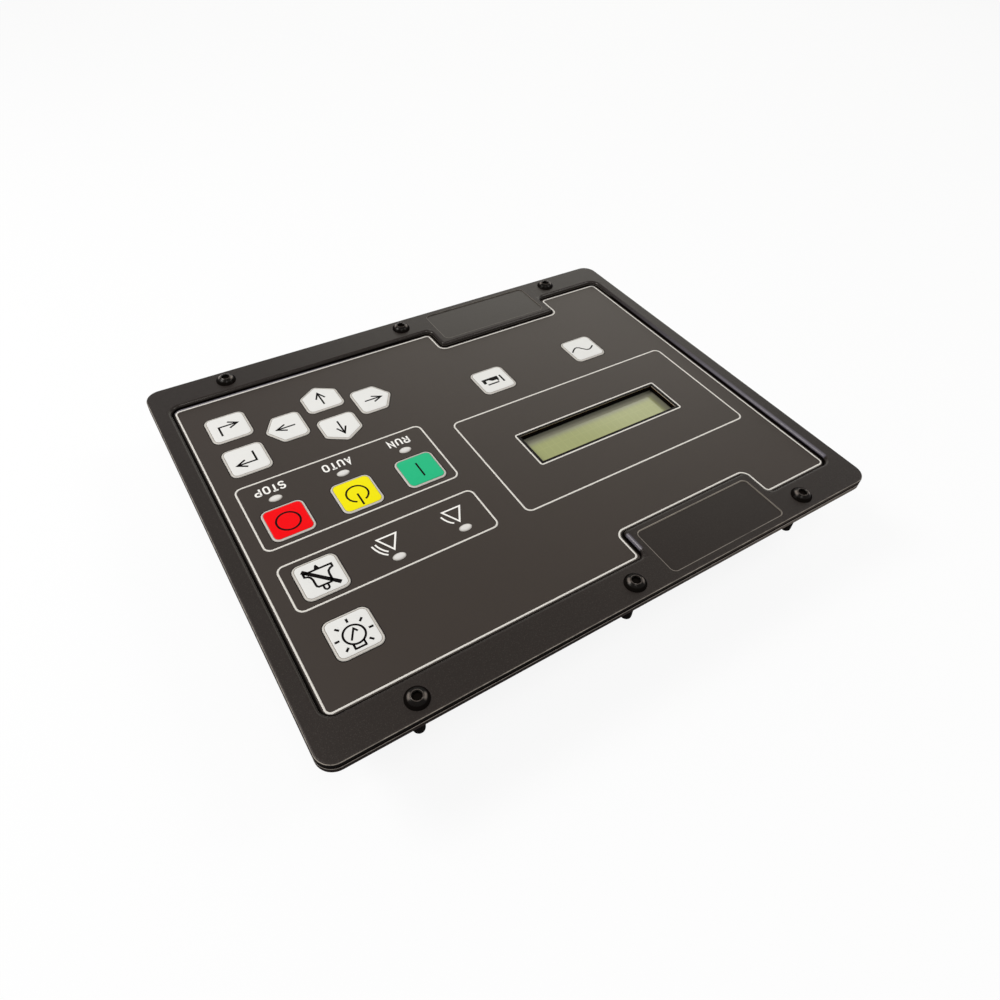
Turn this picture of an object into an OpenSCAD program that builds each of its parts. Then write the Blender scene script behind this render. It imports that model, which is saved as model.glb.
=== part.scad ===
// Operator control panel of an engine generator set.
// A front bezel carries a membrane keypad, a character display and the main board, and a
// cast rear housing closes it. Six button-head screws hold it over a cut-out in a door.
// Z = 0 is the plane where the door seal meets the door, X runs to the right and Y up as
// the panel is read, and the origin is the middle of the screw pattern.

/* [Front bezel] */
// Overall width of the bezel and of the housing flange behind it
bezel_w = 266; // [264:1:290]
// Overall height of the bezel and of the housing flange behind it
bezel_h = 213; // [212:1:240]
// Corner radius of the bezel seen from the front
corner_r = 7; // [3:0.5:12]
// Thickness of the bezel's rim at its outer edge
bezel_t = 1.8; // [1.6:0.1:3]
// Rounding of the rim's outer edge
edge_r = 0.8; // [0.3:0.1:1.2]
// Rounding of the rim's inner edge, where it drops to the keypad
lip_r = 1.5; // [0.4:0.1:1.6]
// Depth of the keypad face below the rim
rim_step = 2; // [1.2:0.1:3]
// Thickness of the floor that carries the keypad
floor_t = 2; // [1.5:0.1:3]
// Wall of the keypad tray outside the recess
tray_wall = 1.5; // [1.2:0.1:2]
// Height of the open parting line between the bezel and the housing flange
parting_gap = 1; // [0.4:0.1:1.4]

/* [Keypad recess] */
// Width of the rim left and right of the keypad
rim_side = 7.7; // [7.5:0.1:10]
// Height of the rim above and below the keypad
rim_end = 16; // [15.9:0.1:18]
// Corner radius of the recess
recess_r = 5; // [3:0.5:8]
// Width of the two tabs of the rim that reach into the recess
tab_w = 71.7; // [60:0.1:76]
// Distance of the tabs' middle from the recess's left edge
tab_in = 76.7; // [72:0.1:82]
// Length of the tabs from the edge of the recess
tab_l = 14.8; // [10:0.1:20]
// Corner radius at a tab's tip
tab_tip_r = 2.1; // [2:0.1:4]
// Corner radius at a tab's root
tab_root_r = 3.7; // [2:0.1:6]
// Width of the shallow nameplate recess on each tab
plate_w = 63.5; // [50:0.5:66]
// Height of the nameplate recess
plate_h = 24; // [18:0.5:25]
// Depth of the nameplate recess
plate_d = 0.4; // [0.2:0.1:0.8]
// Corner radius of the nameplate recess
plate_r = 2.5; // [1:0.5:5]

/* [Keypad] */
// Thickness of the printed overlay film
film_t = 0.4; // [0.25:0.05:0.6]
// Thickness of the spacer sheet round the domes
spacer_t = 0.6; // [0.4:0.05:0.9]
// Thickness of the switch film
circuit_t = 0.2; // [0.1:0.05:0.4]
// Gap between the keypad's edge and the recess wall
film_gap = 0.3; // [0.2:0.1:0.6]
// Size of a key over its border
key_size = 18.6; // [16:0.1:20]
// Corner radius of a key
key_r = 3.2; // [2:0.1:4]
// Height of a key's border above the overlay
key_rise = 0.35; // [0.2:0.05:0.6]
// Height of a key's field above its border
field_rise = 0.2; // [0.1:0.05:0.4]
// Width of a key's border
key_border = 0.9; // [0.5:0.1:1.5]
// Length of the pointed end of an arrow key
point_l = 5.6; // [4:0.1:7]
// Radius of a snap dome
dome_r = 6; // [4:0.1:7]
// Sheet thickness of a snap dome
dome_t = 0.12; // [0.08:0.02:0.2]
// Half length of an indicator window
led_half_x = 3.1; // [2:0.1:4]
// Half height of an indicator window
led_half_y = 2.05; // [1.5:0.05:2.5]

/* [Key places] */
// Distance of the middle command key from the recess's right edge
command_in = 52.75; // [50:0.05:55]
// Distance from one command column to the next
command_pitch = 30.55; // [29:0.05:32]
// Row of the command keys
command_y = 0.2; // [-2:0.1:2]
// Row of the alarm silence key
silence_y = 33.9; // [32:0.1:36]
// Row of the lamp test key
lamp_y = 63.4; // [60:0.1:66]
// Row of the indicators under the command keys
command_led_y = -14.35; // [-16:0.05:-13]
// Row of the two alarm indicators
alarm_led_y = 40; // [38:0.1:41]
// Distance between the two keys under the display
overview_pitch = 57.5; // [40:0.5:70]
// Row of the two keys under the display
overview_y = -39.2; // [-44:0.1:-36]
// Distance of the arrow cluster's middle from the recess's right edge
arrow_in = 64.45; // [62:0.05:67]
// Row of the arrow cluster's middle
arrow_y = -54.8; // [-57:0.1:-53]
// Distance from the cluster's middle to the flat end of the left and right keys
arrow_out_x = 12.95; // [11:0.05:14]
// Distance from the cluster's middle to the flat end of the up and down keys
arrow_out_y = 2.75; // [2:0.05:4]
// Distance of the two menu keys from the recess's right edge
menu_in = 19.7; // [17:0.1:22]
// Distance of the menu keys' middles from the arrow row
menu_out = 12.2; // [11:0.1:14]

/* [Display] */
// Width of the display opening
window_w = 81.1; // [70:0.1:83]
// Height of the display opening
window_h = 19.4; // [16:0.1:22]
// Distance of the display's middle from the recess's left edge
display_in = 75.45; // [72:0.05:80]
// Height of the display's middle
display_y = 13.5; // [10:0.1:16]
// Width of the metal frame on each side of the opening
frame_side = 8.45; // [6:0.05:10]
// Width of the metal frame above and below the opening
frame_end = 3; // [2:0.1:4]
// Distance of the display board's edge from the frame on each side
board_side = 9; // [8:0.5:10]
// Distance of the display board's edge from the frame above and below
board_end = 5.8; // [5.5:0.1:8]
// Depth of the display's metal frame
display_frame_d = 9; // [7:0.1:10]
// Depth of the glass below the frame's face
glass_d = 0.5; // [0.3:0.1:0.8]
// Thickness of the display glass
glass_t = 2.2; // [1.6:0.1:3]
// Thickness of the foam between the frame and the bezel
foam_t = 0.3; // [0.2:0.1:0.8]
// Distance of the display board's holes from its side edges
display_hole_side = 4; // [3.5:0.1:4.4]
// Distance of the display board's holes from its upper and lower edges
display_hole_end = 3.5; // [3:0.1:4]

/* [Main board] */
// Clearance of the main board from the housing's walls
board_edge_gap = 3; // [1:0.5:6]
// Thickness of the circuit boards
board_t = 1.6; // [1:0.1:2]
// Distance from the bezel's floor to the main board
board_gap = 15.6; // [14:0.1:18]
// Distance of the outer board posts from the board's edge
board_post_in = 6.5; // [5:0.5:10]
// Side of the processor
processor_size = 28; // [20:1:32]
// Width of a driver chip
chip_w = 8; // [6:0.5:9]
// Length of a driver chip
chip_l = 16; // [12:0.5:18]
// Thickness of a driver chip
chip_t = 2.6; // [2:0.1:3]
// Distance from one driver chip to the next
chip_pitch = 17; // [12:0.5:18]
// Distance of the row of driver chips from the board's upper edge
chip_row_in = 31.3; // [28:0.1:34]
// Distance of the first driver chip from the board's left edge
chip_in = 36.1; // [30:0.1:40]
// Diameter of a capacitor
can_d = 10; // [8:0.5:11]
// Height of a capacitor
can_h = 12; // [10:0.5:14]
// Distance from one capacitor to the next
can_pitch = 14; // [12:0.5:16]
// Distance of the lowest capacitor from the board's lower and left edges
can_in = 26.2; // [20:0.1:30]

/* [Rear housing] */
// Thickness of the housing's flange
flange_t = 2.5; // [2:0.1:4]
// Thickness of the housing's walls
housing_wall = 1.8; // [1.6:0.1:2.2]
// Depth of the wide part of the housing, from the flange's back to its step
step_d = 11.5; // [9:0.1:14]
// Overall depth of the housing behind the flange, without its fins
housing_d = 35.5; // [33:0.5:45]
// Width of the step inside the housing
shelf_w = 10.6; // [10:0.1:14]
// Draft of the narrow part, as the amount each wall leans in
draft = 2.5; // [0.5:0.1:3]
// Corner radius of the narrow part inside
tub_r = 6; // [4:0.5:10]
// Height of the cooling fins
fin_h = 4; // [2:0.5:8]
// Thickness of a fin at its root
fin_t = 2.4; // [1.6:0.1:3]
// Distance from one fin to the next
fin_pitch = 12; // [9:0.5:16]
// Length of the fins
fin_l = 132; // [100:1:140]
// Distance of the corner housing screws from the mouth's side wall
close_in = 15; // [11:0.5:20]
// Sideways place of the middle housing screws
close_mid_x = 22; // [17:0.5:40]
// Width of the room left in the wall for the nut and washer of each panel screw
nut_room_d = 14; // [13.8:0.1:15]
// Distance from the door plane to the top of that room
nut_room_in = 1.5; // [1:0.1:3]

/* [Seals] */
// Thickness of the seal between the flange and the door
door_seal_t = 1.5; // [1:0.1:3]
// Distance of the door seal's edge from the flange's edge
door_seal_in = 1.2; // [0.8:0.1:1.4]
// Width of the seal between the bezel and the housing
rim_seal_w = 1.6; // [1:0.1:2]
// Depth of that seal's groove in the flange
rim_seal_d = 1; // [0.6:0.1:1.4]
// Distance of that seal's middle from the flange's edge
rim_seal_in = 2.6; // [2.3:0.1:2.9]

/* [Panel screws] */
// Distance of the outer screws from the middle one
screw_x = 95.5; // [90:0.5:104]
// Distance of the screw rows from the bezel's upper and lower edges
screw_in = 7.3; // [6.5:0.1:8]
// Diameter of the screws over their thread
shank_d = 4.8; // [4.4:0.1:5]
// Length of the screws under the head
shank_l = 22; // [18:0.5:25]
// Diameter of the plain neck that the retaining washer slides on
neck_d = 3.9; // [3.4:0.1:4.2]
// Distance from the door plane to the start of the thread
thread_in = 1; // [0.5:0.1:2]
// Chamfer at the screw's tip
tip_chamfer = 0.6; // [0.3:0.1:1]
// Head diameter
head_d = 9.2; // [8:0.1:10]
// Head height
head_h = 2.7; // [2.2:0.1:3.2]
// Size of the hexagon socket across flats
socket_af = 3.2; // [2.5:0.1:3.5]
// Depth of the hexagon socket
socket_deep = 1.6; // [1.2:0.1:1.8]
// Width of the countersunk edge round the socket
socket_edge = 0.5; // [0.2:0.05:0.6]
// Diameter of the retaining washer
retainer_d = 7.4; // [6:0.1:7.6]
// Thickness of the retaining washer
retainer_t = 1; // [0.6:0.1:1.4]

/* [Harness header] */
// Sideways place of the header's middle
header_x = 46; // [40:0.5:60]
// Width of the header's shroud
header_w = 70; // [66:0.5:80]
// Height of the header's shroud
header_h = 28; // [27:0.5:34]
// Wall of the shroud
shroud_wall = 1.8; // [1.4:0.1:2]
// Depth of the socket
socket_d = 11; // [10:0.5:14]
// Contact pins in a column
pin_rows = 7; // [4:1:7]
// Pin columns on each side of the jack nut
pin_columns = 5; // [3:1:6]
// Distance from one pin to the next
pin_pitch = 3.4; // [3.2:0.1:3.5]
// Side of a square pin
pin_side = 1; // [0.6:0.1:1.4]
// Length of a pin above the socket's floor
pin_l = 6.5; // [4:0.5:7]
// Bore of the jack nut
jack_bore_d = 4.2; // [3:0.1:5]

/* [Hidden] */

$fn = 64;
// Overshoot of a cut past the face that it opens
cut = 1;
// Clearance of a piece in its seat
seat_gap = 0.3;
// Radial clearance of a screw in its pilot hole
pilot_gap = 0.05;

recess_w = bezel_w - 2 * rim_side;
recess_h = bezel_h - 2 * rim_end;
tab_x = tab_in - recess_w / 2;
display_x = display_in - recess_w / 2;
command_x = recess_w / 2 - command_in;
arrow_x = recess_w / 2 - arrow_in;
menu_x = recess_w / 2 - menu_in;
screw_y = bezel_h / 2 - screw_in;

flange_z = door_seal_t;
flange_top = flange_z + flange_t;
rim_low = flange_top + parting_gap;
rim_top = rim_low + bezel_t;
face_z = rim_top - rim_step;
spacer_top = face_z - film_t;
circuit_top = spacer_top - spacer_t;
floor_top = circuit_top - circuit_t;
floor_low = floor_top - floor_t;
edge_round = min(edge_r, bezel_t / 2);
lip_round = min(lip_r, tab_tip_r - 0.3, rim_step - 0.1);

tray_w = recess_w + 2 * tray_wall;
tray_h = recess_h + 2 * tray_wall;
tray_r = recess_r + tray_wall;
mouth_w = tray_w + 2 * seat_gap;
mouth_h = tray_h + 2 * seat_gap;
mouth_r = tray_r + seat_gap;
tab_tip_y = recess_h / 2 - tab_l;
plate_y = (tab_tip_y + bezel_h / 2) / 2;
tub_w = mouth_w - 2 * shelf_w;
tub_h = mouth_h - 2 * shelf_w;

step_z = flange_z - step_d;
shelf_low = step_z - housing_wall;
back_z = flange_z - housing_d;
inner_back_z = back_z + housing_wall;
fin_z = back_z - fin_h;

display_frame_w = window_w + 2 * frame_side;
display_frame_h = window_h + 2 * frame_end;
display_board_w = display_frame_w + 2 * board_side;
display_board_h = display_frame_h + 2 * board_end;
display_hole_w = display_board_w - 2 * display_hole_side;
display_hole_h = display_board_h - 2 * display_hole_end;
frame_top = floor_low - foam_t;
display_board_top = frame_top - display_frame_d;
display_board_low = display_board_top - board_t;
glass_top = frame_top - glass_d;
main_top = floor_low - board_gap;
main_low = main_top - board_t;

post_r = 3.5;
pilot_depth = 7;
small_screw_r = 1.5;
small_head_r = 2.9;
small_head_h = 2;
close_boss_r = 3.8;
// Clearance of a closing post from the mouth's wall
close_gap = seat_gap + 0.3;
close_x = mouth_w / 2 - close_in;
close_y = mouth_h / 2 - close_boss_r - close_gap;
close_side_x = mouth_w / 2 - close_boss_r - close_gap;
board_w = tub_w - 2 * draft - 2 * board_edge_gap;
board_h = tub_h - 2 * draft - 2 * board_edge_gap;
board_post_x = board_w / 2 - board_post_in;
board_post_y = board_h / 2 - board_post_in;
processor_x = -40;
processor_y = -15;
tail_w = 16;
tail_x = 20;
tail_y = -30;
tail_slot = 3;
// Height of the tail's end above the main board, inside its socket
tail_seat = 1.2;
processor_t = 1.6;
// Depth of the round mark in the processor's corner
mark_d = 0.2;
// Wall of the display's metal frame
frame_wall = 0.6;
// Width of the pin strip between the two boards
header_strip_w = 40;
// Radius of the sphere that shapes a button head
head_ball = (head_d * head_d / 4 + head_h * head_h) / (2 * head_h) + 0.3;
// Radius of the countersunk edge round the socket, and the height where that cone starts
socket_edge_r = socket_af / 2 + socket_edge;
socket_edge_z = head_h - head_ball + sqrt(head_ball * head_ball - socket_edge_r * socket_edge_r)
    - socket_edge;
neck_l = rim_top + thread_in;
column_xs = [for (i = [-1:1]) command_x + i * command_pitch];
screw_places = [for (x = [-screw_x, 0, screw_x], y = [-screw_y, screw_y]) [x, y]];
close_places = concat([for (x = [-close_x, close_mid_x, close_x], y = [-close_y, close_y])
    [x, y]],
    [for (s = [-1, 1]) [s * close_side_x, 0]]);
display_places = [for (sx = [-1, 1], sy = [-1, 1])
    [display_x + sx * display_hole_w / 2, display_y + sy * display_hole_h / 2]];
board_places = concat([for (x = [-board_post_x, board_post_x / 5, board_post_x],
    y = [-board_post_y, board_post_y]) [x, y]], [[board_post_x * 0.9, 0]]);
square_keys = concat([for (x = column_xs) [x, command_y]],
    [for (s = [-1, 1]) [display_x + s * overview_pitch / 2, overview_y]],
    [for (s = [-1, 1]) [menu_x, arrow_y + s * menu_out]],
    [[column_xs[2], silence_y], [column_xs[2], lamp_y]]);
// Each arrow key: distance of its flat end from the cluster's middle, and its direction
arrow_keys = [for (i = [0:3]) [i % 2 == 0 ? arrow_out_x : arrow_out_y, i * 90]];
key_centres = concat(square_keys,
    [for (k = arrow_keys) [arrow_x, arrow_y] + (k[0] + key_size / 2) * [cos(k[1]), sin(k[1])]]);
led_places = concat([for (x = column_xs) [x, command_led_y]],
    [for (i = [0:1]) [column_xs[i], alarm_led_y]]);

seal_w = bezel_w - 2 * rim_seal_in;
seal_h = bezel_h - 2 * rim_seal_in;

header_top = main_low;
header_low = fin_z;
socket_floor = header_low + socket_d;
header_flange_w = header_w + 8;
header_flange_h = header_h + 8;
header_flange_t = 2;
header_seal_t = 1.5;
jack_r = 4.2;
jack_l = 14;
jack_low = socket_floor - pin_l;

// Rounded rectangle on the XY plane, with true arcs
module rounded_rect(w, h, r) {
    square([w - 2 * r, h], center = true);
    square([w, h - 2 * r], center = true);
    for (sx = [-1, 1], sy = [-1, 1])
        translate([sx * (w / 2 - r), sy * (h / 2 - r)]) circle(r);
}

// Flat block with rounded corners, from one height to another
module block(w, h, r, z0, z1) {
    translate([0, 0, z0]) linear_extrude(z1 - z0) rounded_rect(w, h, r);
}

// Quarter disc that makes a rounded edge
module quarter(r) {
    intersection() {
        circle(r);
        square(r);
    }
}

// Rectangle from x0 to x1 and from -y to y, with one corner radius at each end
module two_radius_rect(x0, x1, y, r0, r1) {
    translate([x0 + r0, -y]) square([x1 - x0 - r0 - r1, 2 * y]);
    translate([x0, r0 - y]) square([r0, 2 * (y - r0)]);
    translate([x1 - r1, r1 - y]) square([r1, 2 * (y - r1)]);
    for (s = [-1, 1]) {
        translate([x0 + r0, s * (y - r0)]) circle(r0);
        translate([x1 - r1, s * (y - r1)]) circle(r1);
    }
}

// Outline of the keypad recess, grown outwards by g: the parts left and right of the tabs,
// and the part between them less the tabs' rounded tips
module recess_shape(g = 0) {
    left = tab_x - tab_w / 2 + g;
    right = tab_x + tab_w / 2 - g;
    half_h = recess_h / 2 + g;
    root_r = tab_root_r + g;
    overlap = 2 * tab_root_r;
    two_radius_rect(-recess_w / 2 - g, left, half_h, recess_r + g, root_r);
    two_radius_rect(right, recess_w / 2 + g, half_h, root_r, recess_r + g);
    difference() {
        translate([left - overlap, root_r - half_h])
            square([right - left + 2 * overlap, 2 * (half_h - root_r)]);
        for (s = [-1, 1]) translate([tab_x, s * (tab_tip_y + g + tab_l)])
            rounded_rect(right - left, 2 * tab_l, tab_tip_r - g);
    }
}

// Corners of the recess wall, anticlockwise, each with its radius
recess_path = let (x = recess_w / 2, y = recess_h / 2, a = tab_x - tab_w / 2,
        b = tab_x + tab_w / 2, t = tab_tip_y, r = recess_r, q = tab_root_r, p = tab_tip_r)
    [[x, -y, r], [x, y, r], [b, y, q], [b, t, p], [a, t, p], [a, y, q],
     [-x, y, r], [-x, -y, r], [a, -y, q], [a, -t, p], [b, -t, p], [b, -y, q]];

// Rounded inner edge of the rim: straight runs and corner arcs along the recess wall
module rounded_lip(r) {
    n = len(recess_path);
    for (i = [0:n - 1]) {
        here = recess_path[i];
        next = recess_path[(i + 1) % n];
        before = recess_path[(i + n - 1) % n];
        run = [next.x - here.x, next.y - here.y];
        length = norm(run);
        way = atan2(run.y, run.x);
        into = atan2(here.y - before.y, here.x - before.x);
        left_turn = sin(way - into) > 0;
        translate([here.x, here.y]) rotate(way) translate([here[2], 0, 0])
            rotate([90, 0, 90]) linear_extrude(length - here[2] - next[2])
                translate([-r, 0]) quarter(r);
        translate([here.x, here.y]) rotate(into)
            translate([-here[2], (left_turn ? 1 : -1) * here[2], 0])
                if (left_turn) rotate(-90) rotate_extrude(angle = 90)
                    translate([here[2] + r, 0]) mirror([1, 0]) quarter(r);
                else rotate_extrude(angle = 90) translate([here[2] - r, 0]) quarter(r);
    }
}

// Plate whose upper outer edge is rounded
module rounded_plate(w, h, r, t, e) {
    linear_extrude(t - e) rounded_rect(w, h, r);
    linear_extrude(t) rounded_rect(w - 2 * e, h - 2 * e, r - e);
    translate([0, 0, t - e]) {
        for (i = [0:3]) translate([(i % 3 == 0 ? 1 : -1) * (w / 2 - r),
                (i < 2 ? 1 : -1) * (h / 2 - r)])
            rotate(i * 90) rotate_extrude(angle = 90) translate([r - e, 0]) quarter(e);
        for (s = [0, 180]) rotate(s) {
            translate([-w / 2 + r, h / 2 - e, 0]) rotate([90, 0, 90])
                linear_extrude(w - 2 * r) quarter(e);
            translate([w / 2 - e, h / 2 - r, 0]) rotate([90, 0, 0])
                linear_extrude(h - 2 * r) quarter(e);
        }
    }
}

// Post that hangs from the bezel's floor and takes a small screw at its end
module screw_post(place, r, z_end) {
    translate([place.x, place.y, z_end]) difference() {
        cylinder(h = floor_low - z_end, r = r);
        translate([0, 0, -cut]) cylinder(h = pilot_depth + cut, r = small_screw_r + pilot_gap);
    }
}

// Hollow behind a tab of the rim, with two ribs left standing
module tab_pocket() {
    wall = bezel_t;
    rib = 1.6;
    w = tab_w - 2 * wall;
    low = tab_tip_y + wall;
    high = tray_h / 2 - tray_wall;
    third = (w - 2 * rib) / 3;
    for (i = [-1:1]) translate([tab_x + i * (third + rib), (low + high) / 2, floor_low - cut])
        linear_extrude(rim_low - floor_low + cut) rounded_rect(third, high - low, 1);
}

module front_bezel() color("#3b3734") {
    difference() {
        union() {
            translate([0, 0, rim_low])
                rounded_plate(bezel_w, bezel_h, corner_r, bezel_t, edge_round);
            block(tray_w, tray_h, tray_r, floor_low, rim_low + edge_round / 2);
        }
        translate([0, 0, floor_top]) linear_extrude(rim_top) recess_shape();
        translate([0, 0, rim_top - lip_round]) linear_extrude(rim_top) recess_shape(lip_round);
        for (s = [0, 1]) mirror([0, s, 0]) {
            tab_pocket();
            translate([tab_x, plate_y, rim_top - plate_d])
                linear_extrude(plate_d + cut) rounded_rect(plate_w, plate_h, plate_r);
        }
        translate([display_x, display_y, floor_low - cut])
            linear_extrude(floor_t + 2 * cut) square([window_w, window_h], center = true);
        for (p = screw_places) translate([p.x, p.y, 0])
            cylinder(h = rim_top + cut, r = shank_d / 2 + seat_gap);
        translate([tail_x, tail_y, floor_low - cut])
            linear_extrude(floor_t + 2 * cut) square([tail_w + 1, tail_slot], center = true);
    }
    translate([0, 0, rim_top - lip_round]) rounded_lip(lip_round);
    for (p = close_places) screw_post(p, close_boss_r, step_z);
    for (p = display_places) screw_post(p, post_r, display_board_top);
    for (p = board_places) screw_post(p, post_r, main_top);
}

// Arrow key seen from above: flat end at the origin, point along +X
module arrow_shape(inset = 0) {
    half = key_size / 2;
    offset(r = key_r - inset) offset(delta = -key_r)
        polygon([[0, -half], [key_size - point_l, -half], [key_size, 0],
            [key_size - point_l, half], [0, half]]);
}

// Every key outline, drawn in by inset
module key_shapes(inset = 0) {
    for (p = square_keys) translate(p)
        rounded_rect(key_size - 2 * inset, key_size - 2 * inset, key_r - inset);
    for (k = arrow_keys) translate([arrow_x, arrow_y]) rotate(k[1]) translate([k[0], 0])
        arrow_shape(inset);
}

module keypad_overlay() color("#35322f") {
    translate([0, 0, spacer_top]) linear_extrude(film_t) difference() {
        recess_shape(-film_gap);
        translate([display_x, display_y]) square([window_w, window_h], center = true);
    }
    translate([0, 0, face_z]) linear_extrude(key_rise) key_shapes();
    translate([0, 0, face_z + key_rise]) linear_extrude(field_rise) key_shapes(key_border);
}

module dome_spacer() color("gainsboro")
    translate([0, 0, circuit_top]) linear_extrude(spacer_t) difference() {
        recess_shape(-2 * film_gap);
        translate([display_x, display_y])
            square([window_w + 2 * film_gap, window_h + 2 * film_gap], center = true);
        for (p = key_centres) translate(p) circle(dome_r + seat_gap);
        for (p = led_places) translate(p)
            square([2 * led_half_x, 2 * led_half_y], center = true);
    }

// One snap dome: a thin cap standing on the switch film
module snap_dome() {
    rise = spacer_t - 0.1;
    steps = 6;
    arc = [for (i = [0:steps]) let (t = i / steps) [dome_r * t, rise * (1 - t * t)]];
    inner = [for (i = [steps:-1:0]) [arc[i].x * (1 - dome_t / dome_r),
        max(0, arc[i].y - dome_t)]];
    rotate_extrude() polygon(concat(arc, inner));
}

module snap_domes() color("silver")
    for (p = key_centres) translate([p.x, p.y, circuit_top]) snap_dome();

module switch_film() color("#8a6a3c") {
    translate([0, 0, floor_top]) linear_extrude(circuit_t) difference() {
        recess_shape(-2 * film_gap);
        translate([display_x, display_y])
            square([window_w + 2 * film_gap, window_h + 2 * film_gap], center = true);
    }
    translate([tail_x - tail_w / 2, tail_y - circuit_t / 2, main_top + tail_seat])
        cube([tail_w, circuit_t, floor_top - main_top - tail_seat]);
}

module indicator_leds() color("#e8e6dc")
    for (p = led_places) translate([p.x, p.y, circuit_top + (spacer_t - 0.1) / 2])
        cube([2 * led_half_x - 1.2, 2 * led_half_y - 1.2, spacer_t - 0.1], center = true);

module display_foam() color("#222222")
    translate([display_x, display_y, frame_top]) linear_extrude(foam_t) difference() {
        square([window_w + 8, window_h + 4], center = true);
        square([window_w + 2, window_h + 2], center = true);
    }

module display_frame() color("#2b2b2d")
    translate([display_x, display_y, display_board_top]) difference() {
        translate([-display_frame_w / 2, -display_frame_h / 2, 0])
            cube([display_frame_w, display_frame_h, display_frame_d]);
        translate([-display_frame_w / 2 + frame_wall, -display_frame_h / 2 + frame_wall, -cut])
            cube([display_frame_w - 2 * frame_wall, display_frame_h - 2 * frame_wall,
                display_frame_d - glass_d + cut]);
        translate([-window_w / 2 - 1, -window_h / 2 - 1, 0])
            cube([window_w + 2, window_h + 2, display_frame_d + cut]);
    }

module display_glass() color("#9aa374")
    translate([display_x, display_y, glass_top - glass_t / 2])
        cube([display_frame_w - 2 * frame_wall - 0.6, display_frame_h - 2 * frame_wall - 0.6,
            glass_t], center = true);

module display_backlight() color("#dfe6c0")
    translate([display_x, display_y, display_board_top])
        linear_extrude(glass_top - glass_t - display_board_top)
            square([display_frame_w - 2 * frame_wall - 0.6,
                display_frame_h - 2 * frame_wall - 0.6], center = true);

// Flat circuit board with round holes
module pcb(w, h, places, hole_r) {
    linear_extrude(board_t) difference() {
        rounded_rect(w, h, 1.5);
        for (p = places) translate(p) circle(hole_r);
    }
}

module display_board() color("#1f5c3a")
    translate([display_x, display_y, display_board_low])
        pcb(display_board_w, display_board_h,
            [for (p = display_places) p - [display_x, display_y]],
            small_screw_r + seat_gap / 2);

// Small pan-head screw, head down, its head's seat at the origin
module small_screw(grip) {
    length = grip + pilot_depth - 1;
    cylinder(h = length, r = small_screw_r);
    translate([0, 0, -small_head_h]) difference() {
        union() {
            translate([0, 0, small_head_h / 2]) cylinder(h = small_head_h / 2, r = small_head_r);
            cylinder(h = small_head_h / 2, r1 = small_head_r * 0.75, r2 = small_head_r);
        }
        translate([0, 0, -cut]) linear_extrude(small_head_h * 0.6 + cut) {
            square([small_head_r, 0.7], center = true);
            square([0.7, small_head_r], center = true);
        }
    }
}

module display_screws() color("silver")
    for (p = display_places) translate([p.x, p.y, display_board_low]) small_screw(board_t);

// Pin strip that joins the display's board to the main board
module display_header() color("#26262a")
    translate([display_x, display_y + display_hole_h / 2 - 4, main_top])
        linear_extrude(display_board_low - main_top)
            square([header_strip_w, 2.5], center = true);

module main_board() color("#1d5a36")
    translate([0, 0, main_low]) pcb(board_w, board_h, board_places, small_screw_r + seat_gap / 2);

module board_screws() color("silver")
    for (p = board_places) translate([p.x, p.y, main_low]) small_screw(board_t);

module processor() color("#202022")
    translate([processor_x, processor_y, main_low - processor_t]) difference() {
        linear_extrude(processor_t) square(processor_size, center = true);
        translate([2.5, 2.5, 0] - [processor_size, processor_size, 0] / 2)
            cylinder(h = 2 * mark_d, r = 1, center = true);
    }

module driver_chips() color("#202022")
    for (i = [0:4]) translate([chip_in + chip_pitch * i - board_w / 2,
            board_h / 2 - chip_row_in, main_low - chip_t])
        linear_extrude(chip_t) square([chip_w, chip_l], center = true);

module capacitors() color("#39404a")
    for (i = [0:2]) translate([can_in - board_w / 2, can_in + can_pitch * i - board_h / 2,
            main_low - can_h]) {
        cylinder(h = can_h - 1, r = can_d / 2);
        translate([0, 0, can_h - 1]) cylinder(h = 1, r = can_d / 2 - 0.6);
    }

module tail_socket() color("#e6e2d8")
    translate([tail_x, tail_y, main_top]) difference() {
        translate([0, 0, 2.25]) cube([tail_w + 5, 5, 4.5], center = true);
        translate([-tail_w / 2 - 0.2, -circuit_t / 2 - 0.1, tail_seat - 0.1])
            cube([tail_w + 0.4, circuit_t + 0.2, 5]);
    }

module rim_seal() color("#1c1c1c")
    translate([0, 0, flange_top - rim_seal_d]) linear_extrude(rim_seal_d + parting_gap)
        difference() {
            rounded_rect(seal_w + rim_seal_w, seal_h + rim_seal_w, corner_r - rim_seal_in
                + rim_seal_w / 2);
            rounded_rect(seal_w - rim_seal_w, seal_h - rim_seal_w, corner_r - rim_seal_in
                - rim_seal_w / 2);
        }

// Box whose walls lean in from the top size by the draft
module drafted_box(w, h, r, z_top, z_low) {
    hull() {
        translate([0, 0, z_top - 0.01]) linear_extrude(0.01) rounded_rect(w, h, r, $fn = 32);
        translate([0, 0, z_low]) linear_extrude(0.01)
            rounded_rect(w - 2 * draft, h - 2 * draft, r, $fn = 32);
    }
}

// Row of cooling fins across the housing's back, cut away round the harness header
module cooling_fins() {
    root = housing_wall / 2;
    count = floor((tub_w - 2 * draft - 2 * tub_r - fin_t) / 2 / fin_pitch);
    difference() {
        for (i = [-count:count]) translate([i * fin_pitch, fin_l / 2, back_z + root])
            rotate([90, 0, 0]) linear_extrude(fin_l) polygon([[-fin_t / 2, 0],
                [-fin_t / 3, -fin_h - root], [fin_t / 3, -fin_h - root], [fin_t / 2, 0]]);
        block_w = header_w + 10;
        translate([header_x, 0, fin_z - cut]) linear_extrude(fin_h + cut)
            rounded_rect(block_w, header_h + 10, 3);
    }
}

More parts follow.
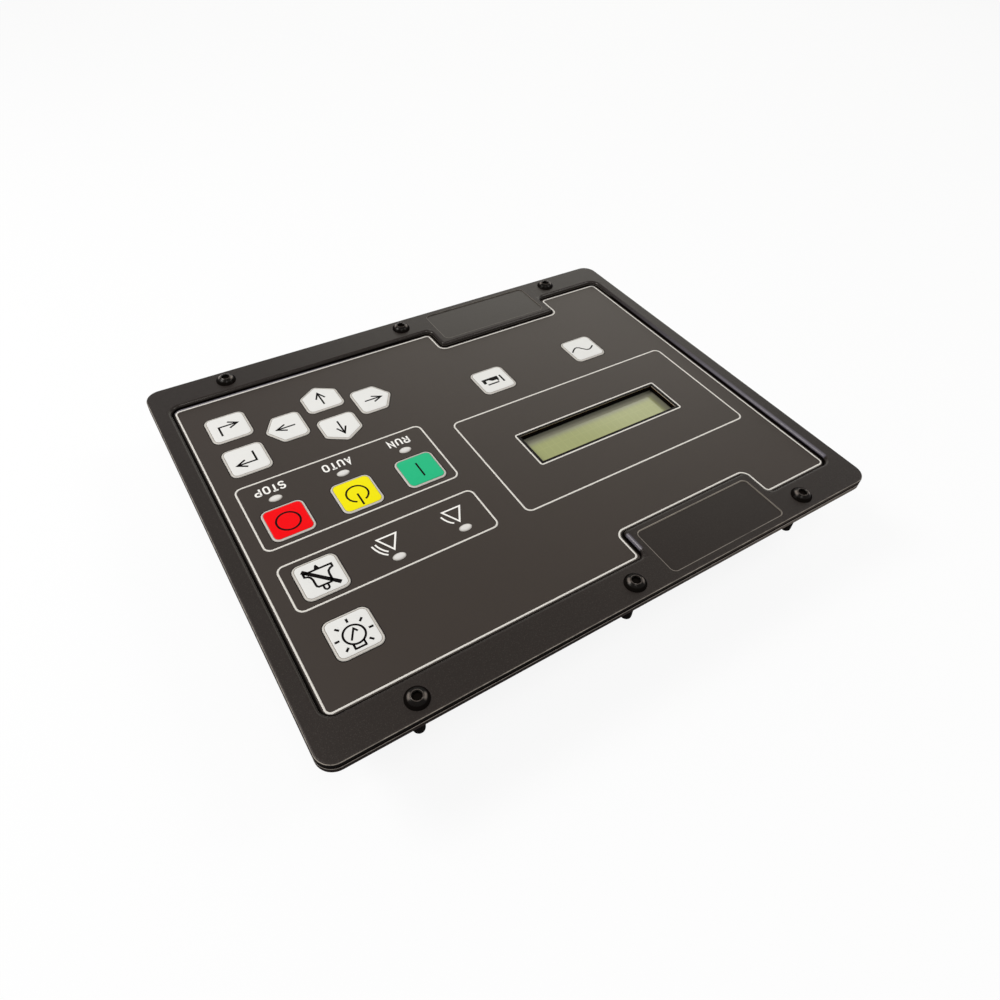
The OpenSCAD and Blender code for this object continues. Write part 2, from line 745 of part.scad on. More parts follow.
// Room for a nut and washer behind the door, round each panel screw, grown by g
module nut_rooms(g = 0) {
    for (p = screw_places) translate([p.x, p.y, shelf_low - cut])
        cylinder(h = g - nut_room_in - shelf_low + cut, r = nut_room_d / 2 + g);
}

module rear_housing() color("#4a4642") {
    difference() {
        union() {
            block(bezel_w, bezel_h, corner_r, flange_z, flange_top);
            block(mouth_w + 2 * housing_wall, mouth_h + 2 * housing_wall, mouth_r + housing_wall,
                shelf_low, flange_top);
            drafted_box(tub_w + 2 * housing_wall, tub_h + 2 * housing_wall,
                tub_r + housing_wall, shelf_low + 0.5, back_z);
            cooling_fins();
        }
        difference() {
            block(mouth_w, mouth_h, mouth_r, step_z, flange_top + cut);
            nut_rooms(housing_wall);
        }
        nut_rooms();
        drafted_box(tub_w, tub_h, tub_r, step_z + 0.5, inner_back_z);
        difference() {
            groove_z = flange_top - rim_seal_d;
            block(seal_w + rim_seal_w, seal_h + rim_seal_w,
                corner_r - rim_seal_in + rim_seal_w / 2, groove_z, flange_top + cut);
            block(seal_w - rim_seal_w, seal_h - rim_seal_w,
                corner_r - rim_seal_in - rim_seal_w / 2, groove_z - cut, flange_top + 2 * cut);
        }
        for (p = screw_places) translate([p.x, p.y, 0])
            cylinder(h = rim_top, r = shank_d / 2 + seat_gap);
        for (p = close_places) translate([p.x, p.y, shelf_low - cut])
            cylinder(h = housing_wall + 2 * cut, r = small_screw_r + seat_gap / 2);
        translate([header_x, 0, fin_z - cut]) linear_extrude(inner_back_z - fin_z + 2 * cut)
            rounded_rect(header_w + 2 * seat_gap, header_h + 2 * seat_gap, 2.5 + seat_gap);
    }
}

module housing_screws() color("silver")
    for (p = close_places) translate([p.x, p.y, shelf_low]) small_screw(housing_wall);

module header_body() color("#232326")
    translate([header_x, 0, 0]) difference() {
        union() {
            block(header_w, header_h, 2.5, header_low, header_top);
            block(header_flange_w, header_flange_h, 3, inner_back_z + header_seal_t,
                inner_back_z + header_seal_t + header_flange_t);
        }
        block(header_w - 2 * shroud_wall, header_h - 2 * shroud_wall, 1.2,
            header_low - cut, socket_floor);
        translate([0, 0, jack_low]) cylinder(h = jack_l, r = jack_r);
    }

module header_pins() color("gold")
    translate([header_x, 0, jack_low]) linear_extrude(pin_l)
        for (s = [-1, 1], i = [0:pin_columns - 1], j = [0:pin_rows - 1])
            translate([s * (jack_r + 2.5 + pin_side + i * pin_pitch),
                (j - (pin_rows - 1) / 2) * pin_pitch]) square(pin_side, center = true);

module header_seal() color("#1c1c1c")
    translate([header_x, 0, inner_back_z]) linear_extrude(header_seal_t) difference() {
        rounded_rect(header_flange_w, header_flange_h, 3);
        rounded_rect(header_w + 2 * seat_gap, header_h + 2 * seat_gap, 2.5 + seat_gap);
    }

module jack_nut() color("goldenrod")
    translate([header_x, 0, jack_low]) difference() {
        cylinder(h = jack_l, r = jack_r - pilot_gap);
        translate([0, 0, -cut]) cylinder(h = jack_l - 2 + cut, r = jack_bore_d / 2);
    }

module door_seal() color("#262626")
    linear_extrude(door_seal_t) difference() {
        rounded_rect(bezel_w - 2 * door_seal_in, bezel_h - 2 * door_seal_in,
            corner_r - door_seal_in);
        rounded_rect(mouth_w + 2 * housing_wall + 2 * seat_gap,
            mouth_h + 2 * housing_wall + 2 * seat_gap, mouth_r + housing_wall + seat_gap);
        for (p = screw_places) translate(p) circle(retainer_d / 2 + seat_gap);
    }

// Captive button-head screw, standing on the rim: hexagon socket, plain neck, threaded end
module panel_screw() {
    difference() {
        union() {
            intersection() {
                cylinder(h = head_h, r = head_d / 2);
                translate([0, 0, head_h - head_ball]) sphere(head_ball, $fn = 96);
            }
            translate([0, 0, -neck_l]) cylinder(h = neck_l, r = neck_d / 2);
            translate([0, 0, tip_chamfer - shank_l])
                cylinder(h = shank_l - neck_l - tip_chamfer, r = shank_d / 2);
            translate([0, 0, -shank_l])
                cylinder(h = tip_chamfer, r1 = shank_d / 2 - tip_chamfer, r2 = shank_d / 2);
        }
        translate([0, 0, head_h - socket_deep])
            cylinder(h = socket_deep + cut, r = socket_af / sqrt(3), $fn = 6);
        translate([0, 0, socket_edge_z]) cylinder(h = 1, r1 = socket_af / 2, r2 = socket_af / 2 + 1);
    }
}

module panel_screws() color("#141414")
    for (p = screw_places) translate([p.x, p.y, rim_top]) panel_screw();

module screw_retainers() color("white")
    for (p = screw_places) translate([p.x, p.y, flange_z - retainer_t]) difference() {
        cylinder(h = retainer_t, r = retainer_d / 2);
        translate([0, 0, -cut]) cylinder(h = retainer_t + 2 * cut, r = neck_d / 2 + 2 * pilot_gap);
    }

front_bezel();
keypad_overlay();
dome_spacer();
snap_domes();
switch_film();
indicator_leds();
display_foam();
display_frame();
display_glass();
display_backlight();
display_board();
display_screws();
display_header();
main_board();
board_screws();
processor();
driver_chips();
capacitors();
tail_socket();
rim_seal();
rear_housing();
housing_screws();
header_body();
header_pins();
header_seal();
jack_nut();
door_seal();
panel_screws();
screw_retainers();
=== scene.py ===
# %% [markdown]
# # An engine's control panel
# The real object is a flat control panel: a moulded bezel, a printed film with embossed keys in
# its recess, a small character display, six black screws and a finned metal housing behind it.
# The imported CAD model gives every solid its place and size. This lesson dresses it: it puts a
# finish on each solid, and replaces the plain keypad with a film, pillow-shaped keys and print.
#
# The first cell loads the model. Every object is in metres, so `MM` turns millimetres into them.
# %% The frame
import math
import bpy
import bmesh
from mathutils import Matrix, Vector
from mathutils.geometry import tessellate_polygon


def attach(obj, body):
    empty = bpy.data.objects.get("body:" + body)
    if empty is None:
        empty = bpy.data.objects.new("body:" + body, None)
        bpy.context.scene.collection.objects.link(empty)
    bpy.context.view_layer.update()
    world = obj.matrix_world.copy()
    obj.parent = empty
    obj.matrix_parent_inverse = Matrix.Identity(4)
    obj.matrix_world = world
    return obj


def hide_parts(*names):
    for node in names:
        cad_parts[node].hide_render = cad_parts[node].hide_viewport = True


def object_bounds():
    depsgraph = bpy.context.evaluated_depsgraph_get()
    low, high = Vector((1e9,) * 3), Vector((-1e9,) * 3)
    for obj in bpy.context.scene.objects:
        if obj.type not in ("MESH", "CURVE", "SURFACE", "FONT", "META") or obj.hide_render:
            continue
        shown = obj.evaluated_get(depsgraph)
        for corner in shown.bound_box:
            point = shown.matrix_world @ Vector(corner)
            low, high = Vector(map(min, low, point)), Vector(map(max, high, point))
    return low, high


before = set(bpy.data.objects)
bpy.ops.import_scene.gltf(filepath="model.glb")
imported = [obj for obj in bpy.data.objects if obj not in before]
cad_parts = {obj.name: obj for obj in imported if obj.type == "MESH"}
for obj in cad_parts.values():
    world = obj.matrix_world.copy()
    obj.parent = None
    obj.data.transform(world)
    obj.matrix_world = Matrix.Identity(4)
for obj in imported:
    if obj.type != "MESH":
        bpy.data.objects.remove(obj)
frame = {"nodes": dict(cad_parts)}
cad_bounds = [list(corner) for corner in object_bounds()]
nodes, scene = frame["nodes"], bpy.context.scene
MM = 0.001
print("nodes", len(nodes), "CAD box", cad_bounds)

# %% [markdown]
# ## Shader sums written as Python
# A procedural finish is arithmetic on positions: a distance to an edge, a bit of noise, a
# threshold. Built by hand that is dozens of Math nodes. A small class that wraps a socket and
# overloads `+ - * /` lets the finish be written as a formula instead, and adds the nodes itself.
# On it `|` takes the larger of two masks, and `ramp` makes a soft mask from a distance.
# %% A socket that can be added and multiplied
class Wire:
    """One output socket of a shader node. Sums on it add Math nodes to the same material."""

    def __init__(self, finish, socket):
        self.finish, self.socket = finish, socket

    def math(self, operation, *others):
        return self.finish.node("ShaderNodeMath", {"operation": operation},
                                dict(enumerate((self,) + others)))

    def ramp(self, low, high):
        """Soft mask of a distance: 0 at low and 1 at high, both in millimetres."""
        return step(self.finish, self, low * MM, high * MM)

    def __add__(self, other): return self.math("ADD", other)
    def __mul__(self, other): return self.math("MULTIPLY", other)
    def __sub__(self, other): return self.math("SUBTRACT", other)
    def __rsub__(self, other): return (self * -1.0) + other
    def __truediv__(self, other): return self.math("DIVIDE", other)
    def __or__(self, other): return self.math("MAXIMUM", other)
    def __neg__(self): return self * -1.0
    def __abs__(self): return self.math("ABSOLUTE")
    __radd__, __rmul__ = __add__, __mul__


# %% A material under construction
class Finish:
    """A material with one Principled shader. Constants go straight onto its sockets."""

    def __init__(self, name, **constants):
        self.material = bpy.data.materials.new(name)
        self.material.use_nodes = True
        self.tree = self.material.node_tree
        self.tree.nodes.clear()
        self.shader = self.tree.nodes.new("ShaderNodeBsdfPrincipled")
        self.output = self.tree.nodes.new("ShaderNodeOutputMaterial")
        self.tree.links.new(self.shader.outputs[0], self.output.inputs[0])
        for socket, value in constants.items():
            self.shader.inputs[socket.replace("_", " ")].default_value = value

    def node(self, kind, settings=None, inputs=None, out=0):
        new = self.tree.nodes.new(kind)
        for key, value in (settings or {}).items():
            setattr(new, key, value)
        for key, value in (inputs or {}).items():
            self.feed(new.inputs[key], value)
        return Wire(self, new.outputs[out])

    def feed(self, socket, value):
        if isinstance(value, Wire):
            self.tree.links.new(value.socket, socket)
        else:
            socket.default_value = value

    def set(self, socket, value):
        self.feed(self.shader.inputs[socket], value)

    def paint(self, mask, code):
        """Lays a screen colour over the base colour where mask is 1."""
        under = Wire(self, self.shader.inputs["Base Color"].links[0].from_socket)
        self.set("Base Color", blend(self, mask, under, srgb(code)))

    def mix_in(self, mask, other):
        """Where mask is 1, another shader takes the place of the Principled one."""
        both = self.node("ShaderNodeMixShader", {},
                         {0: mask, 1: Wire(self, self.shader.outputs[0]), 2: other})
        self.tree.links.new(both.socket, self.output.inputs[0])

    def dull(self, mask, colour):
        """Where mask is 1, a colour with no gloss at all shows."""
        self.mix_in(mask, self.node("ShaderNodeBsdfDiffuse", {}, {"Color": colour}))


print("shader sums ready")

# %% [markdown]
# ## Helpers that every finish shares
# `place` is the point on the object in metres. `grain` is a noise of a given size in millimetres,
# `step` turns a value into a soft mask, and `rounded_box` gives the distance to the outline of
# a rounded rectangle, which is how wear and painted highlight lines find the edges of this panel.
# Only Base Color, Roughness, Normal and the share of the dull shader change over a surface.
# %% Positions, noise and masks
def place(fin):
    return fin.node("ShaderNodeTexCoord", out="Object")


def axes(fin):
    """The place's x, y and z."""
    split = fin.tree.nodes.new("ShaderNodeSeparateXYZ")
    fin.feed(split.inputs[0], place(fin))
    return [Wire(fin, socket) for socket in split.outputs]


def grain(fin, size_mm, detail=2.0, rough=0.5, stretch=(1, 1, 1), distort=0.0):
    moved = fin.node("ShaderNodeMapping", {}, {"Vector": place(fin), "Scale": stretch})
    return fin.node("ShaderNodeTexNoise", {},
                    {"Vector": moved, "Scale": 1 / (size_mm * MM), "Detail": detail,
                     "Roughness": rough, "Distortion": distort})


def step(fin, value, low, high):
    """0 below low, 1 above high, smooth between. low may be the larger one."""
    return fin.node("ShaderNodeMapRange", {"interpolation_type": "SMOOTHSTEP"},
                    {"Value": value, "From Min": low, "From Max": high})


def rounded_box(x, y, centre, half, radius):
    """Distance in metres to a rounded rectangle's outline, from numbers in millimetres."""
    qx = abs(x - centre[0] * MM) - (half[0] - radius) * MM
    qy = abs(y - centre[1] * MM) - (half[1] - radius) * MM
    ax, ay = qx | 0.0, qy | 0.0
    outside = (ax * ax + ay * ay).math("SQRT")
    return outside + (qx | qy).math("MINIMUM", 0.0) - radius * MM


def blend(fin, mask, low, high):
    """A colour that runs from low to high as mask goes from 0 to 1."""
    return fin.node("ShaderNodeMix", {"data_type": "RGBA"},
                    {"Factor": mask, 6: low, 7: high}, out=2)


def bump(fin, height, depth_mm, strength=1.0):
    return fin.node("ShaderNodeBump", {},
                    {"Height": height, "Distance": depth_mm * MM, "Strength": strength})


def srgb(code):
    """Linear colour from a screen colour such as 3a3532."""
    part = [int(code[i:i + 2], 16) / 255 for i in (0, 2, 4)]
    return tuple(c / 12.92 if c < 0.04045 else ((c + 0.055) / 1.055) ** 2.4 for c in part) + (1.0,)


print("3a3532 in linear colour", [round(c, 3) for c in srgb("3a3532")])

# %% [markdown]
# ## The bezel's moulded plastic
# A moulded panel isn't one grey. It has a fine spark-eroded texture, it is polished by hands along
# its edges, and the sharp edges of the shallow nameplate recesses catch the light as thin lines.
# A distance to each rounded rectangle gives both, and noise breaks them up so no edge is even.
# The light outer edge is partly wear and partly a painted highlight, and the nameplates' lines
# are painted highlights.
#
# The rest is light. A plain white world gives a dark lip nothing to mirror, so what the windows of
# a room would do is painted: a pale stripe on two lips that face +X, a dark recess wall with a
# thin light line at the foot of its -Y side, and an outer side that is lighter towards -X. The
# masks are products of ramps, each a soft limit along one axis in millimetres.
# %% Where the panel's edges are
RIM_HALF, RIM_R, FACE_Z = (133.0, 106.5), 7.0, 4.8
RIM_EDGE_Z, LIP_Z, FLANGE_EDGE_Z = 6.6, 6.3, 3.75
PLATE_HALF, PLATE_R, PLATE_X, PLATE_Y = (31.75, 12.0), 2.5, -48.6, 91.1
TAB_A, TAB_B, TAB_TIP, TAB_R = -84.45, -12.75, 75.7, 2.1
END_Y, SIDE_X, RECESS_R = 90.5, 125.3, 5.0


def recess_edge(x, y):
    """Distance to the keypad recess: its rounded box less the two tabs."""
    inside = rounded_box(x, y, (0, 0), (SIDE_X, END_Y), RECESS_R)
    tab = rounded_box(x, abs(y), ((TAB_A + TAB_B) / 2, TAB_TIP + 20),
                      ((TAB_B - TAB_A) / 2, 20), TAB_R)
    return inside | -tab


def near_edge(across, z, at_mm, height_mm, wide_mm):
    """Mask round an edge that runs at one distance and one height."""
    a, b = across - at_mm * MM, z - height_mm * MM
    return (a * a + b * b).math("SQRT").ramp(wide_mm, wide_mm * 0.3)


# %% Dark coats
WARM_GLOSS = (1.0, 0.94, 0.88, 1.0)
MATTE = 0.93  # share of the dull shader where there is no gloss


def dark_coat(name, base, light, worn, grain_mm, depth_mm, roughness, level, edge_z):
    """Dark textured coat: grain, slow colour drift, specks, and outer edges lightened by wear and a
    painted highlight.
    """
    fin = Finish(name, Specular_IOR_Level=level, Specular_Tint=WARM_GLOSS)
    fin.x, fin.y, fin.z = axes(fin)
    drift = grain(fin, 60, 2)
    speckle = grain(fin, grain_mm, 2, 0.5)
    scuffs = step(fin, grain(fin, 9, 4, 0.6, (1, 5, 1)), 0.6, 0.8)
    outer = rounded_box(fin.x, fin.y, (0, 0), RIM_HALF, RIM_R)
    fin.side = outer.ramp(-0.35, -0.12) * fin.z.ramp(edge_z - 0.15, edge_z - 0.4)
    # Every outer top edge but the one at -Y gets a light line: partly wear, partly a painted
    # highlight on the rounding
    edge_weight = 0.2 + 0.8 * fin.y.ramp(-104, -98)
    uneven = 0.55 + 0.45 * step(fin, grain(fin, 5, 4, 0.65), 0.4, 0.6)
    wear_and_highlight = near_edge(outer, fin.z, -0.1, edge_z, 0.32) * edge_weight * uneven
    fin.set("Base Color", blend(fin, drift, srgb(base), srgb(light)))
    fin.paint(step(fin, speckle, 0.55, 0.70) * 0.03, worn)
    fin.paint(wear_and_highlight * 0.9, worn)
    fin.rough = roughness + (speckle - 0.5) * 0.25 - wear_and_highlight * 0.12 + scuffs * 0.05
    fin.set("Roughness", fin.rough)
    fin.relief = speckle + grain(fin, grain_mm * 3, 2) * 0.6
    fin.set("Normal", bump(fin, fin.relief, depth_mm))
    return fin


def side_shade(fin, side, dark, light):
    """Painted shade for an outer side, lighter towards -X."""
    return blend(fin, side * fin.x.ramp(30, -115), srgb(dark), srgb(light))


# %% Bezel finish
bezel = dark_coat("bezel_plastic", "140e0b", "1b1411", "b3a99d", grain_mm=0.42,
                  depth_mm=0.06, roughness=0.42, level=0.25, edge_z=RIM_EDGE_Z)
recess_gap = recess_edge(bezel.x, bezel.y)
plate_gap = rounded_box(bezel.x, abs(bezel.y), (PLATE_X, PLATE_Y), PLATE_HALF, PLATE_R)
lip = near_edge(recess_gap, bezel.z, 0.45, LIP_Z, 1.1)
plates = plate_gap.ramp(-0.2, -0.5)
bezel.set("Roughness", bezel.rough - lip * 0.16 - plates * 0.08)
bezel.set("Normal", bump(bezel, bezel.relief * (1 - (lip | plates * 0.8)), 0.06))
bezel.paint(plates * 0.5, "1d1612")

# A painted reflection on the two lips that face +X: the recess wall's own and the +Y tab's
on_wall = bezel.x.ramp(-123.2, -124.0) * bezel.y.ramp(-95, 70) * bezel.y.ramp(87.8, 86.5)
on_tab = (bezel.x.ramp(TAB_B - 1.9, TAB_B - 1.3) * bezel.x.ramp(TAB_B + 1.0, TAB_B + 0.6)
          * bezel.y.ramp(77.2, 78.6) * bezel.y.ramp(87.4, 86.4))
lip_reflection = near_edge(recess_gap, bezel.z, 0.5, LIP_Z, 1.4) * (on_wall | on_tab)
bezel.paint(lip_reflection * 0.85, "6d6972")

# Painted highlights on the nameplates' edges: faint at -Y, clear at +Y, clearest on the side
# towards the recess
near_half = bezel.y.ramp(-20, 20)
clear = 0.35 + 0.3 * near_half + 0.35 * bezel.y.ramp(80.0, 79.4) * near_half
broken = step(bezel, grain(bezel, 14, 2), 0.2, 0.5)
plate_highlight = abs(plate_gap).ramp(0.30, 0.10) * bezel.z.ramp(6.0, 6.3) * broken * clear
bezel.paint(plate_highlight * 0.9, "a59c91")

# Painted shade on the recess wall, the hidden inside and the outer side, and a painted light line
# at the -Y wall's foot
wall = bezel.z.ramp(5.9, 5.4) * recess_gap.ramp(2.2, 1.9)
inside = bezel.z.ramp(5.25, 5.05)
foot_highlight = (bezel.y.ramp(-72, -75) * abs(bezel.z - 5.25 * MM).ramp(0.22, 0.10)
        * recess_gap.ramp(1.5, 1.2) * bezel.x.ramp(10, -20))
shade = side_shade(bezel, bezel.side, "0a0706", "3d3631")
bezel.dull((wall | inside | bezel.side) * MATTE, blend(bezel, foot_highlight, shade, srgb("67625b")))
print("bezel finish", len(bezel.tree.nodes), "nodes")

# %% [markdown]
# ## The housing's powder coat
# Powder coat flows as it is baked, which leaves an orange-peel surface: low waves a millimetre or
# two long under a finer grain. The same dark coat function serves, with a larger grain. The
# flange's top and side are the only parts that show from the front. They are dull and dark with
# painted shade, and the side is painted lighter towards -X. The fins' tips are rubbed where the
# panel stands on them.
# %% Housing finish
housing = dark_coat("housing_coat", "1f1712", "2b201a", "9a8f83", grain_mm=0.9,
                    depth_mm=0.07, roughness=0.5, level=0.30, edge_z=FLANGE_EDGE_Z)
# Painted shade on the flange's top and side, lighter towards -X on the side
flange_side = housing.side * housing.z.ramp(1.3, 1.6)
flange_top = housing.z.ramp(3.85, 3.98)
housing.dull((flange_top | flange_side * 0.9) * MATTE,
             side_shade(housing, flange_side - flange_top, "1c1411", "6f665e"))
fins_worn = housing.z.ramp(-37.2, -37.9) * step(housing, grain(housing, 3, 4), 0.5, 0.62)
housing.paint(fins_worn * 0.5, "8c867e")
print("housing finish", len(housing.tree.nodes), "nodes")


# %% [markdown]
# ## Film, print and keys
# The keypad is one printed polyester film with a velvet grain. Its print is ink under the surface,
# so it shares the film's roughness and only its colour changes. The keys are the same film pushed
# up by a die: white or coloured ink in the field, and a pale border where the film slopes.
#
# A film in a deep recess lies in its wall's shadow, painted here as a dark dull strip all round.
# At the -Y end the sheet curls up a little towards +X, and there the strip is a painted light
# reflection instead.
# %% Film and ink
def printed_film(name, base, light, roughness=0.46, level=0.44, mottle=0.25, dusty=False):
    fin = Finish(name, Specular_IOR_Level=level, Specular_Tint=WARM_GLOSS)
    drift = grain(fin, 45, 2)
    velvet = grain(fin, 0.25, 3, 0.6)
    fibres = grain(fin, 3.5, 4, 0.6, (1, 3, 1))
    marks = step(fin, grain(fin, 1.4, 5, 0.7), 0.70, 0.78)
    fin.set("Base Color", blend(fin, drift * (1 - mottle) + velvet * mottle,
                                srgb(base), srgb(light)))
    if dusty:  # a speck in the middle of some cells
        spots = {"Vector": place(fin), "Scale": 1 / (24 * MM)}
        near = fin.node("ShaderNodeTexVoronoi", {}, spots)
        kind = fin.node("ShaderNodeTexVoronoi", {}, spots, out=1)
        fin.paint(step(fin, near, 0.013, 0.006) * step(fin, kind, 0.45, 0.5) * 0.7, "b8b2a8")
    fin.set("Roughness", roughness + (velvet - 0.5) * 0.14 + (fibres - 0.5) * 0.05 - marks * 0.05)
    fin.set("Normal", bump(fin, velvet + fibres * 0.3, 0.018))
    return fin


film_ink = printed_film("film_black", "1f1712", "261d17", level=0.38, dusty=True)
margin_ink = printed_film("film_window_margin", "0e0b09", "130f0c", roughness=0.4, level=0.08)
line_ink = printed_film("ink_white", "d6d1c9", "e3dfd8")
word_ink = printed_film("ink_words", "eeebe5", "f7f5f1")
icon_ink = printed_film("ink_black", "050404", "0a0808", level=0.05)
key_white = printed_film("key_white", "dad9d5", "e8e7e4", 0.42, 0.3, mottle=0.35)
key_green = printed_film("key_green", "1fb079", "2bbb84", 0.42, 0.1, mottle=0.3)
key_yellow = printed_film("key_yellow", "ebdc06", "f3e70c", 0.42, 0.1, mottle=0.3)
key_red = printed_film("key_red", "ea020c", "f40610", 0.42, 0.1, mottle=0.3)
border_ink = printed_film("key_border", "bdb8b0", "cbc6bf", 0.4, 0.3, mottle=0.1)
# The groove between border and field is real, and its darker ink is painted shade
groove_shade_ink = printed_film("key_groove_shade", "7f786f", "8f887f", 0.4, 0.2, mottle=0.1)
# The flat dark ring round each key is a painted contact shadow
shadow_ring_ink = printed_film("key_shadow_ring", "0c0a09", "12100e", 0.5, 0.1)
lens_ink = printed_film("lens_clear", "aaa69f", "b4b0a9", 0.3, 0.3, mottle=0.1)
# Painted highlight: the lens's dome is lighter towards its top
lens_ink.paint(axes(lens_ink)[2].ramp(FACE_Z + 0.12, FACE_Z + 0.42), "dcd9d5")
x, y = axes(film_ink)[:2]
gutter = recess_edge(x, y)
# Painted reflection: a light strip along the film's -Y edge towards +X
edge_reflection = (y.ramp(-87, -88) * x.ramp(0, 80)
        * gutter.ramp(-0.65, -0.75) * gutter.ramp(-1.6, -1.5))
film_ink.paint(edge_reflection * 0.9, "7d7980")
# Painted shadow: a dark dull strip where the recess wall shades the film
film_ink.dull(gutter.ramp(-1.1, -0.85) * (1 - edge_reflection) * 0.9, srgb("050404"))
print("film inks", [m.name for m in bpy.data.materials if "ink" in m.name or "key" in m.name])

# %% [markdown]
# ## The display
# A reflective liquid-crystal glass is olive, and close up it shows its unlit cells: two rows of
# twenty characters, each five dots by eight. The cells are drawn with a remainder (the Math
# node's Fraction), a shade darker than the olive. The glass is glossy, so it also mirrors the
# dark walls of its opening. Towards its -Y and -X edges a soft grey band is painted over the
# olive: painted shade for the shadow and blurred reflection of the opening's walls.
# %% Display finish
DISPLAY, WINDOW = (-49.85, 13.5), (81.1, 19.4)
CELL_X, CELL_Y = DISPLAY[0] - 36.8, DISPLAY[1] - 5.9
PITCH_X, PITCH_Y, WIDE, HIGH, DOT = 3.7, 5.95, 0.82, 0.88, 0.86


def cells(value, start_mm, pitch_mm, share, count):
    """1 inside each of count cells of a row that starts at start_mm."""
    fin, along = value.finish, value / (pitch_mm * MM) - start_mm / pitch_mm
    return (step(fin, along.math("FRACT"), share, share - 0.04) * step(fin, along, -0.01, 0.01)
            * step(fin, along, count + 0.01, count - 0.01))


lcd = Finish("display_glass", Roughness=0.09, Specular_IOR_Level=0.62)
x, y = axes(lcd)[:2]
characters = cells(x, CELL_X, PITCH_X, WIDE, 20) * cells(y, CELL_Y, PITCH_Y, HIGH, 2)
dots = (cells(x, CELL_X, PITCH_X * WIDE / 5, DOT, 122)
        * cells(y, CELL_Y, PITCH_Y * HIGH / 8, DOT, 18))
lcd.set("Base Color", blend(lcd, grain(lcd, 30, 2), srgb("979b61"), srgb("a0a46b")))
# Painted shade: a soft grey band along the -Y and -X edges, for the walls' shadow and reflection
border = (y.ramp(DISPLAY[1] - 2.6, DISPLAY[1] - 7.6)
          | x.ramp(DISPLAY[0] - 34.5, DISPLAY[0] - 39.5) * 0.9)
lcd.paint(border * 0.85, "7b7770")
lcd.paint(characters * dots * 0.08, "5c6440")
lcd.set("Roughness", 0.09 + grain(lcd, 8, 3) * 0.05)
print("display finish", len(lcd.tree.nodes), "nodes")


# %% [markdown]
# ## Metals, rubbers and the parts behind the door
# Small parts still need their own surfaces. Turned brass has fine rings round its axis, zinc is
# mottled, rubber is matte with mould grain, and the connector's black nylon is filled with glass
# fibres that show as pale threads. Each is a few formulas on the same noise.
#
# A black button head mirrors the room in two bright wedges on its shoulder, like a bow tie, and
# along the rim of its socket. Both are painted reflections, at a turn that is the same on all six
# heads, and the rest of the screw is dull black: painted shade in place of the dark room it would
# mirror. To do it once, `WRAP` and `SIGN` fold the six places onto one.
# %% Screws and other metals
SCREW_X, SCREW_Y, NUT_X = 95.5, 99.2, 46
BOW_X, BOW_Y = 0.88, -0.47


def metal(name, base, light, roughness, blotch_mm, metallic=1.0, depth_mm=0.008, stretch=(1, 1, 1)):
    fin = Finish(name, Metallic=metallic)
    blotch = grain(fin, blotch_mm, 4, 0.6)
    brushed = grain(fin, 0.25, 3, 0.6, stretch)
    fin.set("Base Color", blend(fin, blotch, srgb(base), srgb(light)))
    fin.set("Roughness", roughness + (blotch - 0.5) * 0.18 + (brushed - 0.5) * 0.08)
    fin.set("Normal", bump(fin, brushed, depth_mm))
    return fin


screw_black = metal("screw_black_oxide", "030202", "070504", 0.25, 2.0, metallic=0.0,
                    depth_mm=0.006)
screw_black.set("Specular IOR Level", 0.22)
screw_black.set("Specular Tint", WARM_GLOSS)
x, y, z = axes(screw_black)
from_x = x.math("WRAP", SCREW_X / 2 * MM, -SCREW_X / 2 * MM)
from_y = y - y.math("SIGN") * (SCREW_Y * MM)
from_axis = (from_x * from_x + from_y * from_y).math("SQRT")
along_bow = abs(from_x * BOW_X + from_y * BOW_Y) / from_axis
bow = (from_axis.ramp(2.2, 2.7) * from_axis.ramp(3.7, 3.1)
       * step(screw_black, along_bow, 0.80, 0.985) * (0.7 + 0.3 * grain(screw_black, 1.5, 1, 0.4)))
socket_rim = abs(from_axis - 2.15 * MM).ramp(0.25, 0.1) * z.ramp(8.6, 9.0)
shank, skirt = z.ramp(1.0, -0.5), from_axis.ramp(3.1, 3.9)
socket = from_axis.ramp(1.75, 1.6) * z.ramp(9.3, 8.9)
# Painted shade: the stud, the outer skirt, the socket and the ring between the glints are dull
# black
between = (1 - (bow | socket_rim)) * 0.6
screw_black.paint(bow * 0.75, "8d827a")
screw_black.paint(socket_rim * 0.4, "6a5f58")
screw_black.dull((shank | skirt | socket | between) * MATTE, srgb("0e0b09"))
zinc = metal("screw_zinc", "a9a9a6", "c8c8c4", 0.34, 1.5, stretch=(1, 1, 6))
spring = metal("dome_steel", "b9b8b4", "d3d2ce", 0.26, 2.5)
gold = metal("pin_gold", "c99a3f", "e6bd63", 0.24, 1.2, stretch=(1, 1, 8))
can = metal("capacitor_can", "8d9196", "b3b6ba", 0.3, 4.0, stretch=(1, 1, 5))
black_metal = metal("display_frame_black", "141414", "1f1e1e", 0.4, 3.0, metallic=0.4)

brass = Finish("nut_brass", Metallic=1.0)
x, y = axes(brass)[:2]
from_nut = x - NUT_X * MM
rings = ((from_nut * from_nut + y * y).math("SQRT") / (0.18 * MM)).math("SINE")
brass.set("Base Color", blend(brass, grain(brass, 2, 3), srgb("b98a3a"), srgb("d9ac57")))
brass.set("Roughness", 0.27 + rings * 0.05)
brass.set("Normal", bump(brass, rings, 0.01, 0.6))
print("metals", screw_black.material.name, zinc.material.name, brass.material.name)


